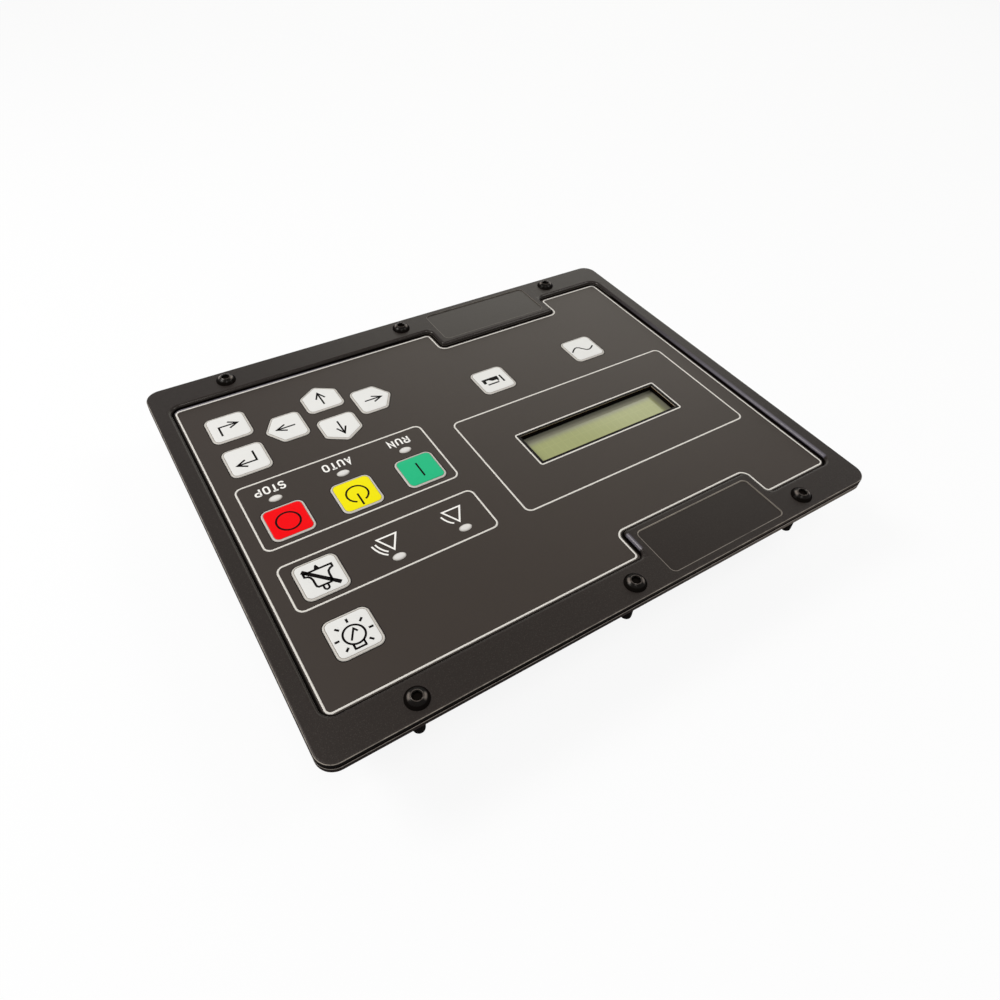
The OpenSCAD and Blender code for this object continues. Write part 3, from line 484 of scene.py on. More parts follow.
# %% Rubbers and plastics
def plain(name, base, light, roughness, grain_mm, depth_mm=0.02, level=0.5):
    fin = Finish(name, Specular_IOR_Level=level)
    fine = grain(fin, grain_mm, 3, 0.6)
    drift = grain(fin, 20 * grain_mm, 3)
    fin.set("Base Color", blend(fin, drift * 0.6 + fine * 0.4, srgb(base), srgb(light)))
    fin.set("Roughness", roughness + (fine - 0.5) * 0.15)
    fin.set("Normal", bump(fin, fine, depth_mm))
    return fin


rubber = plain("seal_rubber", "0d0c0b", "171514", 0.8, 0.5, 0.05, 0.1)
foam = plain("foam_black", "191919", "2b2a29", 0.9, 0.7, 0.15)
nylon = plain("washer_nylon", "cfccc2", "dedbd2", 0.45, 0.6)
ivory = plain("socket_ivory", "c9c2ad", "dbd4c0", 0.45, 0.6)
clear_sheet = plain("spacer_sheet", "bdbdb8", "cfcfca", 0.35, 2.0)
amber = plain("switch_film", "8a5a22", "a5702c", 0.3, 2.0)
diffuser = plain("lamp_diffuser", "d8d5ca", "e6e3d8", 0.5, 0.5)
backlight = plain("backlight_guide", "c9cf9f", "d8deb0", 0.4, 1.0)
chip_black = plain("chip_black", "1b1b1c", "272728", 0.55, 0.3)
strip_black = plain("strip_black", "19191a", "242425", 0.5, 0.4)

nylon_black = plain("header_nylon", "171718", "212122", 0.46, 0.35, 0.03)
fibre = step(nylon_black, grain(nylon_black, 0.5, 4, 0.7, (1, 7, 3), 1.5), 0.66, 0.74)
nylon_black.paint(fibre * 0.35, "5a5956")

board = plain("circuit_board", "123f27", "1a5233", 0.3, 1.0)
across = axes(board)[0] + grain(board, 7, 2) * (1.5 * MM)
tracks = abs(across.math("PINGPONG", 0.9 * MM) - 0.45 * MM).ramp(0.3, 0.2)
board.paint(tracks * step(board, grain(board, 25, 1), 0.5, 0.54) * 0.5, "2f7a4b")
print("plastics and rubbers done,", len(bpy.data.materials), "materials")

# %% [markdown]
# ## Dressing the solids
# A CAD solid whose shape is right stays as it is and only gets its finish, by putting the
# material into its first slot. The table below is the whole of that step.
# %% Finishes on the CAD solids
dress = {
    "front_bezel": bezel, "rear_housing": housing, "display_glass": lcd,
    "display_frame": black_metal, "display_backlight": backlight, "display_board": board,
    "main_board": board, "display_foam": foam, "display_header": strip_black,
    "dome_spacer": clear_sheet, "snap_domes": spring, "switch_film": amber,
    "indicator_leds": diffuser, "processor": chip_black, "driver_chips": chip_black,
    "capacitors": can, "tail_socket": ivory, "rim_seal": rubber, "door_seal": rubber,
    "header_seal": rubber, "header_body": nylon_black, "header_pins": gold,
    "jack_nut": brass, "panel_screws": screw_black, "screw_retainers": nylon,
    "display_screws": zinc, "board_screws": zinc, "housing_screws": zinc,
}
for name, fin in dress.items():
    nodes[name].data.materials.clear()
    nodes[name].data.materials.append(fin.material)
print("dressed", len(dress), "of", len(nodes), "solids")


# %% [markdown]
# ## Outlines with rounded corners
# Everything printed on the film is a rounded outline or a stroke of constant width. An outline is
# a list of corners, each with its radius. The helper cuts each corner back to where its arc starts
# and puts points along the arc, for corners that turn either way.
# %% Corner arcs and strokes
def rounded(corners, steps=8):
    """Points of a closed outline from (x, y, radius) corners, in millimetres."""
    points = []
    for i, (cx, cy, r) in enumerate(corners):
        here = Vector((cx, cy))
        to_last = (Vector(corners[i - 1][:2]) - here).normalized()
        to_next = (Vector(corners[(i + 1) % len(corners)][:2]) - here).normalized()
        if r < 1e-6:
            points.append(here)
            continue
        half = to_last.angle(to_next) / 2
        middle = here + (to_last + to_next).normalized() * (r / math.sin(half))
        start = here + to_last * (r / math.tan(half)) - middle
        turn = start.angle_signed(here + to_next * (r / math.tan(half)) - middle)
        for k in range(steps + 1):
            points.append(middle + Matrix.Rotation(-turn * k / steps, 2) @ start)
    return points


def box(x0, y0, x1, y1, r):
    return [(x1, y0, r), (x1, y1, r), (x0, y1, r), (x0, y0, r)]


def offset(points, distance, closed=True):
    """Points moved to the left of their path by distance, with mitred corners."""
    out, n = [], len(points)
    for i, p in enumerate(points):
        before = points[i - 1] if closed or i else None
        after = points[(i + 1) % n] if closed or i < n - 1 else None
        sides = []
        for a, b in ((before, p), (p, after)):
            if a is not None and b is not None and (b - a).length > 1e-7:
                d = (b - a).normalized()
                sides.append(Vector((-d.y, d.x)))
        normal = sum(sides, Vector((0, 0))).normalized()
        out.append(p + normal * (distance / max(normal.dot(sides[0]), 0.35)))
    return out


def stroke(points, width, closed=False):
    """Loops of a line of constant width: an outer and an inner loop, or one for an open line."""
    points = [Vector(p) for p in points]
    left, right = offset(points, width / 2, closed), offset(points, -width / 2, closed)
    return [left, right] if closed else [left + right[::-1]]


def arc(cx, cy, r, a0, a1, steps=24):
    turns = [math.radians(a0 + (a1 - a0) * k / steps) for k in range(steps + 1)]
    return [(cx + r * math.cos(t), cy + r * math.sin(t)) for t in turns]


test = rounded(box(0, 0, 10, 6, 2))
print("a rounded box of 10 by 6 has", len(test), "points")


# %% [markdown]
# ## Thin plates
# The film and the print are thin plates: a flat shape with holes, given a thickness. Blender's
# `tessellate_polygon` fills a shape with holes, and the sides are strips between two copies of
# each loop. The plates stay a few hundredths of a millimetre proud of what they lie on.
# %% From loops to a plate
def in_scene(name, data):
    """A new object in the scene with the given mesh, curve, lamp or camera."""
    made = bpy.data.objects.new(name, data)
    scene.collection.objects.link(made)
    return made


def new_piece(name, build, finish, slot=None, smooth=False):
    """A mesh object from a function that fills a bmesh in millimetres."""
    mesh = bpy.data.meshes.new(name)
    bm = bmesh.new()
    build(bm)
    bmesh.ops.remove_doubles(bm, verts=bm.verts, dist=1e-5)
    bmesh.ops.recalc_face_normals(bm, faces=bm.faces)
    bmesh.ops.scale(bm, vec=(MM, MM, MM), verts=bm.verts)
    for face in bm.faces:
        face.smooth = smooth
    bm.to_mesh(mesh)
    bm.free()
    mesh.materials.append(finish.material)
    piece = in_scene(name, mesh)
    if slot:
        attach(piece, "root")
    return piece


def add_plate(bm, loops, z0, z1):
    """A closed plate between two heights from an outer loop and its holes."""
    flat = [[Vector((p[0], p[1], 0)) for p in loop] for loop in loops]
    low, high = [[bm.verts.new((p.x, p.y, z)) for loop in flat for p in loop] for z in (z0, z1)]
    for a, b, c in tessellate_polygon(flat):
        if len({a, b, c}) == 3:
            bm.faces.new((high[a], high[b], high[c]))
            bm.faces.new((low[c], low[b], low[a]))
    start = 0
    for loop in loops:
        for i in range(len(loop)):
            a, b = start + i, start + (i + 1) % len(loop)
            bm.faces.new((low[a], low[b], high[b], high[a]))
        start += len(loop)


def flat_piece(name, shapes, z0, z1, finish):
    """One piece of plates between two heights. A shape is its outer loop and its holes."""
    def build(bm):
        for loops in shapes:
            add_plate(bm, loops, z0, z1)
    return new_piece(name, build, finish, "overlay")


# %% The film sheet
def recess(inset, r=RECESS_R, root_r=3.7):
    """Outline of the keypad recess drawn in by inset, round both tabs of the rim."""
    x, y, t = SIDE_X - inset, END_Y - inset, TAB_TIP - inset
    a, b, p, q = TAB_A - inset, TAB_B + inset, TAB_R + inset, max(root_r - inset, 0.2)
    r = max(r - inset, 0.2)
    return rounded([(x, -y, r), (x, y, r), (b, y, q), (b, t, p), (a, t, p), (a, y, q),
                    (-x, y, r), (-x, -y, r), (a, -y, q), (a, -t, p), (b, -t, p), (b, -y, q)])


def window(out_mm, r=0.3):
    """Outline of the display's opening, made larger all round by out_mm."""
    w, h = WINDOW[0] / 2 + out_mm, WINDOW[1] / 2 + out_mm
    return rounded(box(DISPLAY[0] - w, DISPLAY[1] - h, DISPLAY[0] + w, DISPLAY[1] + h, r), 4)


FILM_LOW = 4.4
film = flat_piece("keypad_film", [[recess(0.3), window(0)]], FILM_LOW, FACE_Z, film_ink)
print("film", len(film.data.vertices), "points")

# %% [markdown]
# ## Lines that follow a path
# The fine frames on the film all follow rounded outlines, so one Geometry Nodes tree makes them:
# it takes the outlines as curves, sweeps a flat profile along them and gives it a material. The
# width and height are named inputs, so every frame on the panel can share the tree. The result
# is turned into a plain mesh, because an export can't carry a live modifier.
# %% Trees and their links
def tree_with(name, **sockets):
    """A Geometry Nodes tree with named inputs, and the nodes at its two ends."""
    tree = bpy.data.node_groups.new(name, "GeometryNodeTree")
    tree.interface.new_socket("Geometry", in_out="OUTPUT", socket_type="NodeSocketGeometry")
    for label, kind in {"Geometry": "Geometry", **sockets}.items():
        tree.interface.new_socket(label, in_out="INPUT", socket_type="NodeSocket" + kind)
    return tree, tree.nodes.new("NodeGroupInput"), tree.nodes.new("NodeGroupOutput")


def add_nodes(tree, family, *kinds):
    return [tree.nodes.new(family + kind) for kind in kinds]


def link_up(tree, *rows):
    """Links sockets, from rows of node, output, node, input."""
    for source, output, target, entry in rows:
        tree.links.new(source.outputs[output], target.inputs[entry])


def grow(name, source, tree, slot, **values):
    """Runs a tree on an object and keeps the result as a plain mesh piece."""
    mod = source.modifiers.new(name, "NODES")
    mod.node_group = tree
    for socket in tree.interface.items_tree:
        if socket.name in values:
            mod[socket.identifier] = values[socket.name]
    bpy.context.view_layer.update()
    evaluated = source.evaluated_get(bpy.context.evaluated_depsgraph_get())
    mesh = bpy.data.meshes.new_from_object(evaluated)
    mesh.name = name
    source.modifiers.remove(mod)
    bpy.data.objects.remove(source)
    piece = in_scene(name, mesh)
    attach(piece, "root")
    return piece


print("tree helpers ready")

# %% A tree that sweeps a flat line along curves
line_tree, start, end = tree_with("printed_line", Width="Float", Height="Float", Ink="Material")
quad, up, sweep, real, ink = add_nodes(
    line_tree, "GeometryNode", "CurvePrimitiveQuadrilateral", "SetCurveNormal", "CurveToMesh",
    "RealizeInstances", "SetMaterial")
up.mode = "Z_UP"
link_up(line_tree, (start, "Width", quad, "Width"), (start, "Height", quad, "Height"),
        (start, "Geometry", up, "Curve"), (up, 0, sweep, "Curve"),
        (quad, 0, sweep, "Profile Curve"), (sweep, 0, real, 0), (real, 0, ink, "Geometry"),
        (start, "Ink", ink, "Material"), (ink, 0, end, 0))


def paths(name, loops, z):
    """A curve object with one closed spline for each loop, in metres."""
    data = bpy.data.curves.new(name, "CURVE")
    data.dimensions = "3D"
    for loop in loops:
        spline = data.splines.new("POLY")
        spline.points.add(len(loop) - 1)
        for point, p in zip(spline.points, loop):
            point.co = (p[0] * MM, p[1] * MM, z * MM, 1)
        spline.use_cyclic_u = True
    return in_scene(name, data)


print("line tree", len(line_tree.nodes), "nodes")

# %% Frames on the film
frames = [
    recess(1.9, r=4.1),                             # the whole film
    rounded(box(-114.1, -18.8, 14.25, 46.05, 3)),   # display group
    rounded(box(28.65, 22.25, 116.4, 46.1, 3)),     # alarm group
    rounded(box(28.55, -26.1, 116.55, 12.65, 3)),   # command group
    rounded(box(-92.0, 2.6, -7.45, 24.95, 1)),      # display's own line
]
lines = grow("film_frames", paths("frame_paths", frames, FACE_Z + 0.01), line_tree, "overlay",
             Width=0.8 * MM, Height=0.05 * MM, Ink=line_ink.material)
margin = flat_piece("window_margin", [[rounded(box(-91.7, 2.9, -7.8, 24.6, 0.6)), window(0.02)]],
                    FACE_Z - 0.02, FACE_Z + 0.015, margin_ink)
print("frames", len(lines.data.polygons), "faces, margin", len(margin.data.polygons))

# %% [markdown]
# ## Pillow keys
# A key is a low pillow: the film slopes up over a narrow border, rolls over and runs nearly flat
# across the field, a little higher in the middle. It is built from nested copies of its outline,
# each drawn in a bit further and set a bit higher, with strips of faces between them. Border and
# field are separate pieces, because they carry different inks.
# %% One square key and one arrow key
KEY, KEY_R, POINT = 18.6, 3.2, 5.6
# SHADOW_RING: a flat ring just outside each key, carrying a painted contact shadow
SHADOW_RING = [(-0.38, 0.004), (-0.3, 0.012), (0.0, 0.012)]
SLOPE = [(0.0, 0.0), (0.12, 0.13), (0.3, 0.25), (0.55, 0.33), (0.8, 0.35)]
GROOVE = [(0.8, 0.35), (0.86, 0.32), (0.94, 0.32), (1.0, 0.35)]
FIELD = [(1.0, 0.35), (1.15, 0.42), (1.4, 0.47), (2.2, 0.5), (4.5, 0.53), (7.0, 0.55)]
BURIED = -0.02


def square_key(inset):
    h = KEY / 2 - inset
    return rounded(box(-h, -h, h, h, max(KEY_R - inset, 0.6)), 6)


def arrow_key(inset):
    """House shape with its point along +X, its flat end at the origin."""
    h, lean = KEY / 2 - inset, math.atan2(POINT, KEY / 2)
    shoulder = KEY - POINT - inset * math.tan(math.pi / 4 - lean / 2)
    tip = KEY + 0.2 - inset / math.cos(lean)
    r = max(2.4 - inset, 0.5)
    return rounded([(inset, -h, max(KEY_R - inset, 0.6)), (shoulder, -h, r), (tip, 0, r),
                    (shoulder, h, r), (inset, h, max(KEY_R - inset, 0.6))], 6)


def pillow(outline, profile, close=False):
    """Strips between nested outlines: a closed pillow, or a ring with an open middle."""
    def build(bm):
        levels = [(profile[0][0], BURIED)] + profile
        if not close:
            levels.append((profile[-1][0], BURIED))
        rings = [[bm.verts.new((p.x, p.y, FACE_Z + rise)) for p in outline(inset)]
                 for inset, rise in levels]
        for low, high in zip(rings, rings[1:] + ([] if close else rings[:1])):
            for i in range(len(low)):
                j = (i + 1) % len(low)
                bm.faces.new((low[i], low[j], high[j], high[i]))
        if close:
            bm.faces.new(rings[-1])
            bm.faces.new(rings[0][::-1])
    return build


print("square key has", len(square_key(0)), "points round it, arrow", len(arrow_key(0)))

# %% [markdown]
# ## Repeating the keys
# Thirteen keys and five lamp lenses are copies of a few shapes, so a second tree places them: its
# input is a mesh of single points, each with a turn stored as an attribute, and it puts one copy
# of the chosen shape on each point. Realize Instances makes real faces of them.
# %% A tree that puts a shape on marked points
mark_tree, start, end = tree_with("shape_on_marks", Shape="Object", Ink="Material")
info, turn, copies, real, ink = add_nodes(
    mark_tree, "GeometryNode", "ObjectInfo", "InputNamedAttribute", "InstanceOnPoints",
    "RealizeInstances", "SetMaterial")
about, = add_nodes(mark_tree, "ShaderNode", "CombineXYZ")
turn.data_type = "FLOAT"
turn.inputs["Name"].default_value = "turn"
link_up(mark_tree, (start, "Shape", info, "Object"), (turn, "Attribute", about, "Z"),
        (start, "Geometry", copies, "Points"), (info, "Geometry", copies, "Instance"),
        (about, 0, copies, "Rotation"), (copies, 0, real, 0), (real, 0, ink, "Geometry"),
        (start, "Ink", ink, "Material"), (ink, 0, end, 0))


def marks(name, spots, height=0):
    """A mesh of single points from (x, y, turn in degrees), with the turn as an attribute."""
    mesh = bpy.data.meshes.new(name)
    mesh.from_pydata([(x * MM, y * MM, height * MM) for x, y, _ in spots], [], [])
    turns = mesh.attributes.new("turn", "FLOAT", "POINT")
    for i, (_, _, angle) in enumerate(spots):
        turns.data[i].value = math.radians(angle)
    return in_scene(name, mesh)


def repeat(name, build, spots, finish):
    """One smooth piece with a copy of a shape on each spot."""
    shape = new_piece(name + "_shape", build, finish, smooth=True)
    piece = grow(name, marks(name + "_marks", spots), mark_tree, "overlay",
                 Shape=shape, Ink=finish.material)
    bpy.data.objects.remove(shape)
    return piece


print("mark tree", len(mark_tree.nodes), "nodes")

# %% Keys in their places
COMMAND_X, COMMAND_Y, HUB = (41.75, 72.15, 102.8), 0.75, (60.5, -54.15)
squares = [(102.7, 34.25, 0), (102.7, 63.75, 0), (-78.3, -38.7, 0), (-21.05, -38.4, 0),
           (105.2, -42.15, 0), (105.3, -66.7, 0)]
coloured = [(x, COMMAND_Y, 0) for x in COMMAND_X]
arrows = [(HUB[0] + reach * math.cos(math.radians(a)),
           HUB[1] + reach * math.sin(math.radians(a)), a)
          for reach, a in ((13.1, 0), (3.0, 90), (12.85, 180), (2.95, 270))]
keys = []
for band, profile, fin in (("creases", SHADOW_RING, shadow_ring_ink), ("borders", SLOPE, border_ink),
                           ("grooves", GROOVE, groove_shade_ink)):
    keys.append(repeat("key_" + band, pillow(square_key, profile), squares + coloured, fin))
    keys.append(repeat("arrow_" + band, pillow(arrow_key, profile), arrows, fin))
keys.append(repeat("key_fields", pillow(square_key, FIELD, True), squares, key_white))
keys.append(repeat("arrow_fields", pillow(arrow_key, FIELD, True), arrows, key_white))
for fin, spot, name in zip((key_green, key_yellow, key_red), coloured, ("run", "auto", "stop")):
    keys.append(repeat(name + "_key_field", pillow(square_key, FIELD, True), [spot], fin))
print("key pieces", len(keys), "on", len(squares + coloured + arrows), "places")

# %% Lamp lenses
LENS_A, LENS_B, LENS_POINTS = 2.9, 1.85, 40
DOME = [(0, 0), (0.1, 0.12), (0.3, 0.22), (0.6, 0.31), (1.0, 0.38), (1.4, 0.42), (1.7, 0.43)]


def lens(inset):
    """Oval lamp window, 5.8 by 3.7 mm."""
    turns = [k * math.tau / LENS_POINTS for k in range(LENS_POINTS)]
    return [Vector(((LENS_A - inset) * math.cos(t), (LENS_B - inset) * math.sin(t)))
            for t in turns]


lamps = [(x, -13.75, 0) for x in COMMAND_X] + [(x, 40.25, 0) for x in COMMAND_X[:2]]
keys.append(repeat("lamp_lenses", pillow(lens, DOME, True), lamps, lens_ink))
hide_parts("keypad_overlay")
print("keys and lenses", [(k.name, len(k.data.polygons)) for k in keys])

# %% [markdown]
# ## Signs on the keys
# The signs are strokes of constant width, written as short lists of points. They lie on top of the
# pillow, so their height follows the key's field: 0.5 mm above the film, plus a hair.
# %% Black signs
SIGN_Z, LINE_W = FACE_Z + 0.5, 0.85


def ring(cx, cy, r):
    return [arc(cx, cy, r + side * LINE_W / 2, 0, 360, 48)[:-1] for side in (1, -1)]


def arrow_sign(x0, y0, x1, y1, head=4.4, spread=2.25):
    """A shaft from the first point to the second, with an open head at the second."""
    tip, way = Vector((x1, y1)), Vector((x1 - x0, y1 - y0)).normalized()
    back, side = tip - way * head, Vector((-way.y, way.x)) * spread
    return [stroke([(x0, y0), (x1, y1)], LINE_W), stroke([back + side, tip, back - side], LINE_W)]


# Bar, broken ring and ring on the command keys, then the wave key
black = [
    stroke([(41.95, -3.4), (41.95, 5.5)], LINE_W),
    stroke(arc(72.2, 1.1, 4.75, 90 + 24, 450 - 24), LINE_W),
    stroke([(72.2, 1.1), (72.2, 8.1)], LINE_W),
    ring(102.9, 1.35, 4.95),
    stroke([(-84.5, -38.3), (-83.2, -37.3), (-81.8, -36.5), (-80.6, -36.2), (-79.4, -36.6),
            (-78.0, -38.1), (-76.6, -39.8), (-75.4, -40.5), (-74.3, -40.4), (-72.8, -39.4),
            (-70.9, -37.8)], 0.8),
]
# The four arrow keys, and the two keys with a bent arrow
black += arrow_sign(60.65, -46.4, 60.65, -37.3) + arrow_sign(60.65, -61.1, 60.65, -70.2)
black += arrow_sign(43.05, -53.45, 34.5, -53.45) + arrow_sign(78.3, -53.8, 87.1, -53.8)
black += [stroke(points, 0.9) for points in (
    [(101.5, -46.1), (101.5, -39.6), (110.3, -39.6)],
    [(106.2, -37.3), (110.3, -39.6), (106.2, -41.9)],
    [(109.5, -61.7), (109.5, -68.0), (100.8, -68.0)],
    [(104.9, -65.7), (100.8, -68.0), (104.9, -70.3)])]
# Engine
black += [[outline] for outline in (
    [(-26.1, -40.2), (-25.1, -40.2), (-25.1, -34.7), (-26.1, -34.7)],
    [(-24.1, -40.3), (-15.0, -40.3), (-15.0, -36.7), (-16.5, -36.9), (-16.8, -38.9),
     (-18.5, -38.9), (-20.2, -37.6), (-24.0, -37.6)],
    [(-22.9, -36.0), (-16.5, -36.0), (-16.5, -35.1), (-22.9, -35.1)],
    [(-23.5, -37.6), (-22.7, -37.6), (-22.7, -36.3), (-23.5, -36.3)])]
# Bulb with its rays
bulb = Vector((102.7, 64.6))
black += [ring(bulb.x, bulb.y, 4.15),
          stroke([(100.9, 63.8), (101.95, 62.15), (104.55, 66.6)], 0.8),
          stroke([(100.6, 68.0), (100.6, 70.5), (104.75, 70.5), (104.75, 68.0)], 0.8)]
for angle in (-90, -135, -45, 180, 0, 135, 45):
    ray = Vector((math.cos(math.radians(angle)), math.sin(math.radians(angle))))
    black.append(stroke([bulb + ray * 5.75, bulb + ray * 7.6], 0.9))
# Bell with its knob and clapper, struck out
bell = [(96.95, 30.35), (108.4, 30.35), (108.4, 31.9), (107.2, 32.3), (106.4, 33.1), (105.98, 34.5),
        (105.95, 37.3), (105.8, 38.1), (105.2, 38.65), (100.3, 38.65), (99.65, 38.2),
        (99.4, 37.2), (99.4, 34.6), (99.1, 33.2), (98.1, 32.2), (96.95, 31.8)]
black += [stroke([(101.75, 38.65), (101.75, 40.2)] + arc(102.7, 40.2, 0.95, 180, 0, 10)
                 + [(103.65, 40.2), (103.65, 38.65)], 0.8),
          stroke(bell, 0.92, True),
          [[(101.6, 30.0), (102.4, 28.1), (103.0, 28.1), (103.8, 30.0)]],
          stroke([(96.9, 40.55), (108.6, 28.9)], 1.75)]
signs = flat_piece("key_signs", black, SIGN_Z - 0.04, SIGN_Z + 0.06, icon_ink)
print("black signs", len(black), "strokes,", len(signs.data.polygons), "faces")

# %% White signs and words
PRINT_Z = (FACE_Z - 0.02, FACE_Z + 0.035)
# Two triangles over the lamps, with one and two sound waves
white = [stroke(points, 0.75, closed) for closed, points in (
    (True, [(42.05, 35.9), (37.85, 28.3), (46.3, 28.3)]),
    (True, [(72.15, 35.9), (67.9, 28.3), (76.45, 28.3)]),
    (False, [(44.6, 35.8), (45.7, 34.9), (46.7, 33.5), (47.4, 32.0), (47.9, 30.3)]),
    (False, [(74.8, 35.9), (76.0, 34.7), (77.0, 33.1), (77.6, 31.7), (78.0, 30.2)]),
    (False, [(75.6, 37.4), (77.0, 36.2), (78.2, 34.5), (79.1, 32.4), (79.6, 30.4)]))]
alarm = flat_piece("alarm_signs", white, *PRINT_Z, word_ink)

# Narrow upright letters, as strokes in a box W wide and H high
W, H = 2.2, 4.05
BOWL = [(0, H), (W - 1.0, H)] + arc(W - 1.0, H - 1.0, 1.0, 90, -90, 10) + [(0, H - 2.0)]
LETTERS = {
    "A": [[(-0.05, 0), (W / 2, H), (W + 0.05, 0)], [(0.35, 1.3), (W - 0.35, 1.3)]],
    "N": [[(0, 0), (0, H), (W, 0), (W, H)]],
    "O": [arc(W / 2, 1.1, 1.1, 180, 360, 10) + arc(W / 2, H - 1.1, 1.1, 0, 180, 10)],
    "P": [[(0, 0), (0, H)], BOWL],
    "R": [[(0, 0), (0, H)], BOWL, [(1.15, H - 2.0), (W, 0)]],
    "S": [arc(W / 2, H - 1.04, 1.08, 15, 270, 14) + arc(W / 2, 1.04, 1.08, 90, -165, 14)],
    "T": [[(0, H), (W, H)], [(W / 2, 0), (W / 2, H)]],
    "U": [[(0, H)] + arc(W / 2, 1.1, 1.1, 180, 360, 12) + [(W, H)]],
}


def word(text, starts, base=-22.05, width=0.8):
    """A word's loops, each letter starting at its own place along the film."""
    return [stroke([(left + x, base + y) for x, y in line], width, letter == "O")
            for letter, left in zip(text, starts) for line in LETTERS[letter]]


printed = (word("RUN", (37.1, 40.75, 44.65)) + word("AUTO", (65.8, 69.45, 72.95, 76.5))
           + word("STOP", (96.6, 99.9, 103.4, 107.3)))
words = flat_piece("function_words", printed, *PRINT_Z, word_ink)
print("words", len(words.data.polygons), "faces, alarm signs", len(alarm.data.polygons))

# %% [markdown]
# ## Threads on the panel screws
# The CAD stud is a plain cylinder at the thread's middle diameter. A thread is a ridge that winds
# round it, so it follows a path as the film's lines do: the path is a helix, made by a Curve
# Spiral node, and a small square profile is swept along it. One helix then lands on six marks.
# %% A tree that winds a ridge round each stud
wind_tree, start, end = tree_with("stud_thread", Radius="Float", Length="Float", Turns="Float",
                                  Ridge="Float", Ink="Material")
helix, ridge, upright, wound, copies, real, ink = add_nodes(
    wind_tree, "GeometryNode", "CurveSpiral", "CurvePrimitiveQuadrilateral", "SetCurveNormal",
    "CurveToMesh", "InstanceOnPoints", "RealizeInstances", "SetMaterial")
helix.inputs["Resolution"].default_value = 20
upright.mode = "Z_UP"
wound.inputs["Fill Caps"].default_value = True
link_up(wind_tree, (start, "Turns", helix, "Rotations"), (start, "Radius", helix, "Start Radius"),
        (start, "Radius", helix, "End Radius"), (start, "Length", helix, "Height"),
        (start, "Ridge", ridge, "Width"), (start, "Ridge", ridge, "Height"),
        (helix, 0, upright, "Curve"), (upright, 0, wound, "Curve"),
        (ridge, 0, wound, "Profile Curve"), (start, "Geometry", copies, "Points"),
        (wound, 0, copies, "Instance"), (copies, 0, real, 0), (real, 0, ink, "Geometry"),
        (start, "Ink", ink, "Material"), (ink, 0, end, 0))

SCREWS = [(x, side * SCREW_Y, 0) for x in (-SCREW_X, 0, SCREW_X) for side in (-1, 1)]
STUD_TOP, STUD_END, STUD_R, PITCH, RIDGE = -1.4, -14.2, 2.48, 0.8, 0.42
threads = grow("stud_threads", marks("stud_marks", SCREWS, STUD_END), wind_tree, "screw_black",
               Radius=(STUD_R - RIDGE / 2) * MM, Length=(STUD_TOP - STUD_END) * MM,
               Turns=(STUD_TOP - STUD_END) / PITCH, Ridge=RIDGE * MM, Ink=screw_black.material)
print("threads", len(threads.data.polygons), "faces on", len(SCREWS), "studs")

# %% [markdown]
# ## Floor, light and camera
# The panel lies on its fins on a pale floor. The floor and the world are white to the camera, to
# mirrors and to glass, but light the object only at a plain level. Part of the floor's colour is
# an ordinary white surface, so the object keeps its soft shadow. The camera stands where the
# photo was taken from: its place and turn were worked out from the panel's printed outline.
# %% Floor
low_z = cad_bounds[0][2]
bpy.ops.mesh.primitive_plane_add(size=8, location=(0, 0, low_z - 0.00002))
floor = bpy.context.object
floor.name = "floor"
paper = Finish("floor_white", Roughness=0.7, Specular_IOR_Level=0.2)
paper.set("Base Color", (0.9, 0.9, 0.9, 1))
glow = paper.node("ShaderNodeEmission", {}, {"Color": (1, 1, 1, 1), "Strength": 1.0})
seen, mirrored, through = [paper.node("ShaderNodeLightPath", out=f"Is {kind} Ray")
                           for kind in ("Camera", "Glossy", "Transmission")]
paper.mix_in((seen | mirrored | through) * 0.9, glow)
floor.data.materials.append(paper.material)
print("floor at", round(low_z * 1000, 2), "mm")

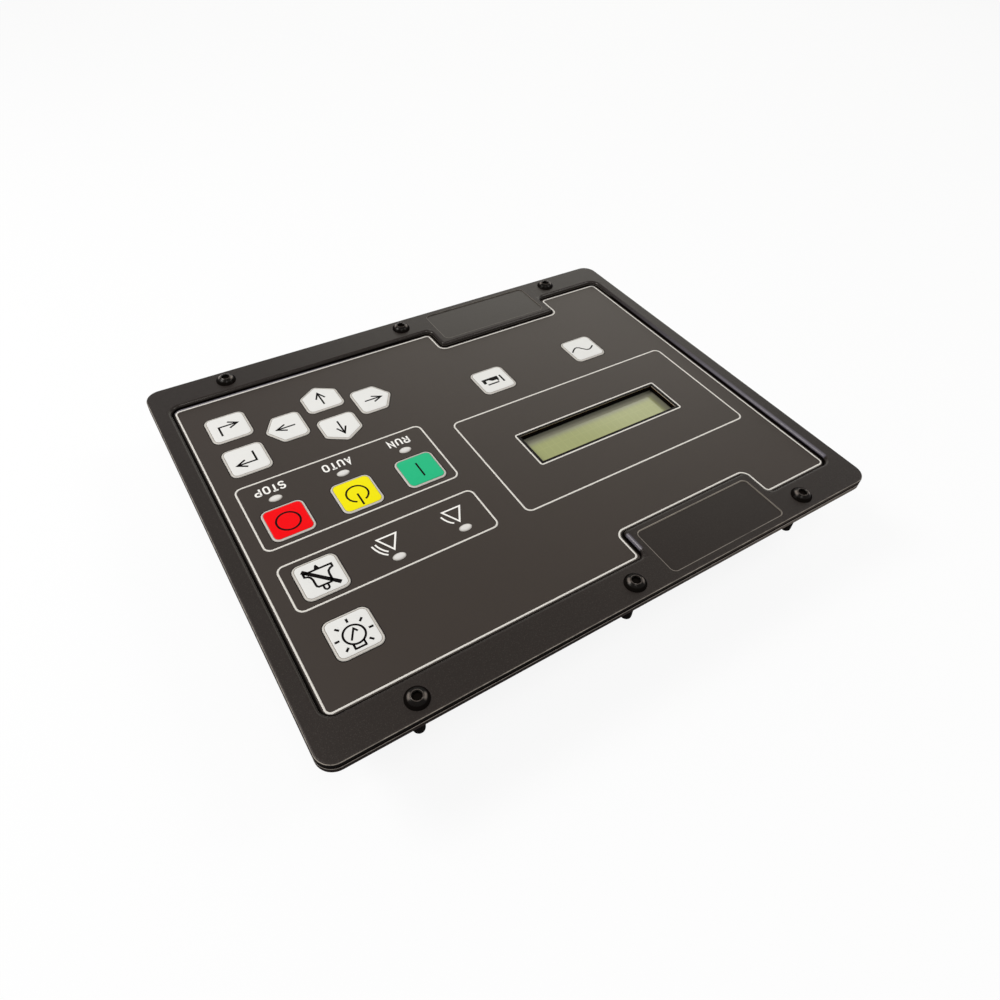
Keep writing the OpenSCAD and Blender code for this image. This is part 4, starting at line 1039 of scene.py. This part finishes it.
# %% World and lamps
world = bpy.data.worlds.new("studio")
scene.world = world
world.use_nodes = True
sky_tree = world.node_tree
sky_tree.nodes.clear()
sky, out, path, level, either, any_ray = add_nodes(
    sky_tree, "ShaderNode", "Background", "OutputWorld", "LightPath", "MapRange", "Math", "Math")
either.operation = any_ray.operation = "MAXIMUM"
level.inputs["To Min"].default_value = 0.30
link_up(sky_tree, (path, "Is Camera Ray", either, 0), (path, "Is Glossy Ray", either, 1),
        (either, 0, any_ray, 0), (path, "Is Transmission Ray", any_ray, 1),
        (any_ray, 0, level, "Value"), (level, 0, sky, "Strength"), (sky, 0, out, 0))


def lamp_at(name, place_m, size, watts, colour=(1, 1, 1)):
    """A rectangular lamp that points at the panel's middle."""
    data = bpy.data.lights.new(name, "AREA")
    data.shape = "RECTANGLE"
    data.size, data.size_y = size
    data.energy, data.color = watts, colour
    lamp = in_scene(name, data)
    lamp.location = place_m
    lamp.rotation_euler = (-Vector(place_m)).to_track_quat("-Z", "Y").to_euler()


lamp_at("key_light", (0.62, -0.34, 0.8), (0.36, 0.36), 6.8)
lamp_at("fill_light", (-0.7, 0.35, 0.9), (0.35, 0.35), 2.4)
lamp_at("top_light", (0.13, 0.36, 0.92), (0.22, 0.22), 1.6)
lamp_at("far_light", (-0.8, -0.98, 0.66), (1.2, 0.6), 3.2, (1.0, 0.99, 0.88))

# %% Camera
FOCAL_PX, PHOTO_PX, SENSOR_MM = 722.69, 1000, 36
camera = in_scene("camera", bpy.data.cameras.new("camera"))
right = Vector((-0.842864, 0.535701, 0.051033))
up_way = Vector((-0.360425, -0.632408, 0.685678))
back = right.cross(up_way).normalized()
spin = Matrix((right.normalized(), back.cross(right.normalized()), back)).transposed()
camera.matrix_world = Matrix.Translation((0.145088, 0.207917, 0.230394)) @ spin.to_4x4()
camera.data.sensor_width = SENSOR_MM
camera.data.lens = FOCAL_PX / PHOTO_PX * SENSOR_MM
camera.data.clip_start = 0.01
scene.camera = camera
scene.view_settings.view_transform = "Standard"
print("camera", [round(v, 4) for v in camera.location], "lens", round(camera.data.lens, 2))
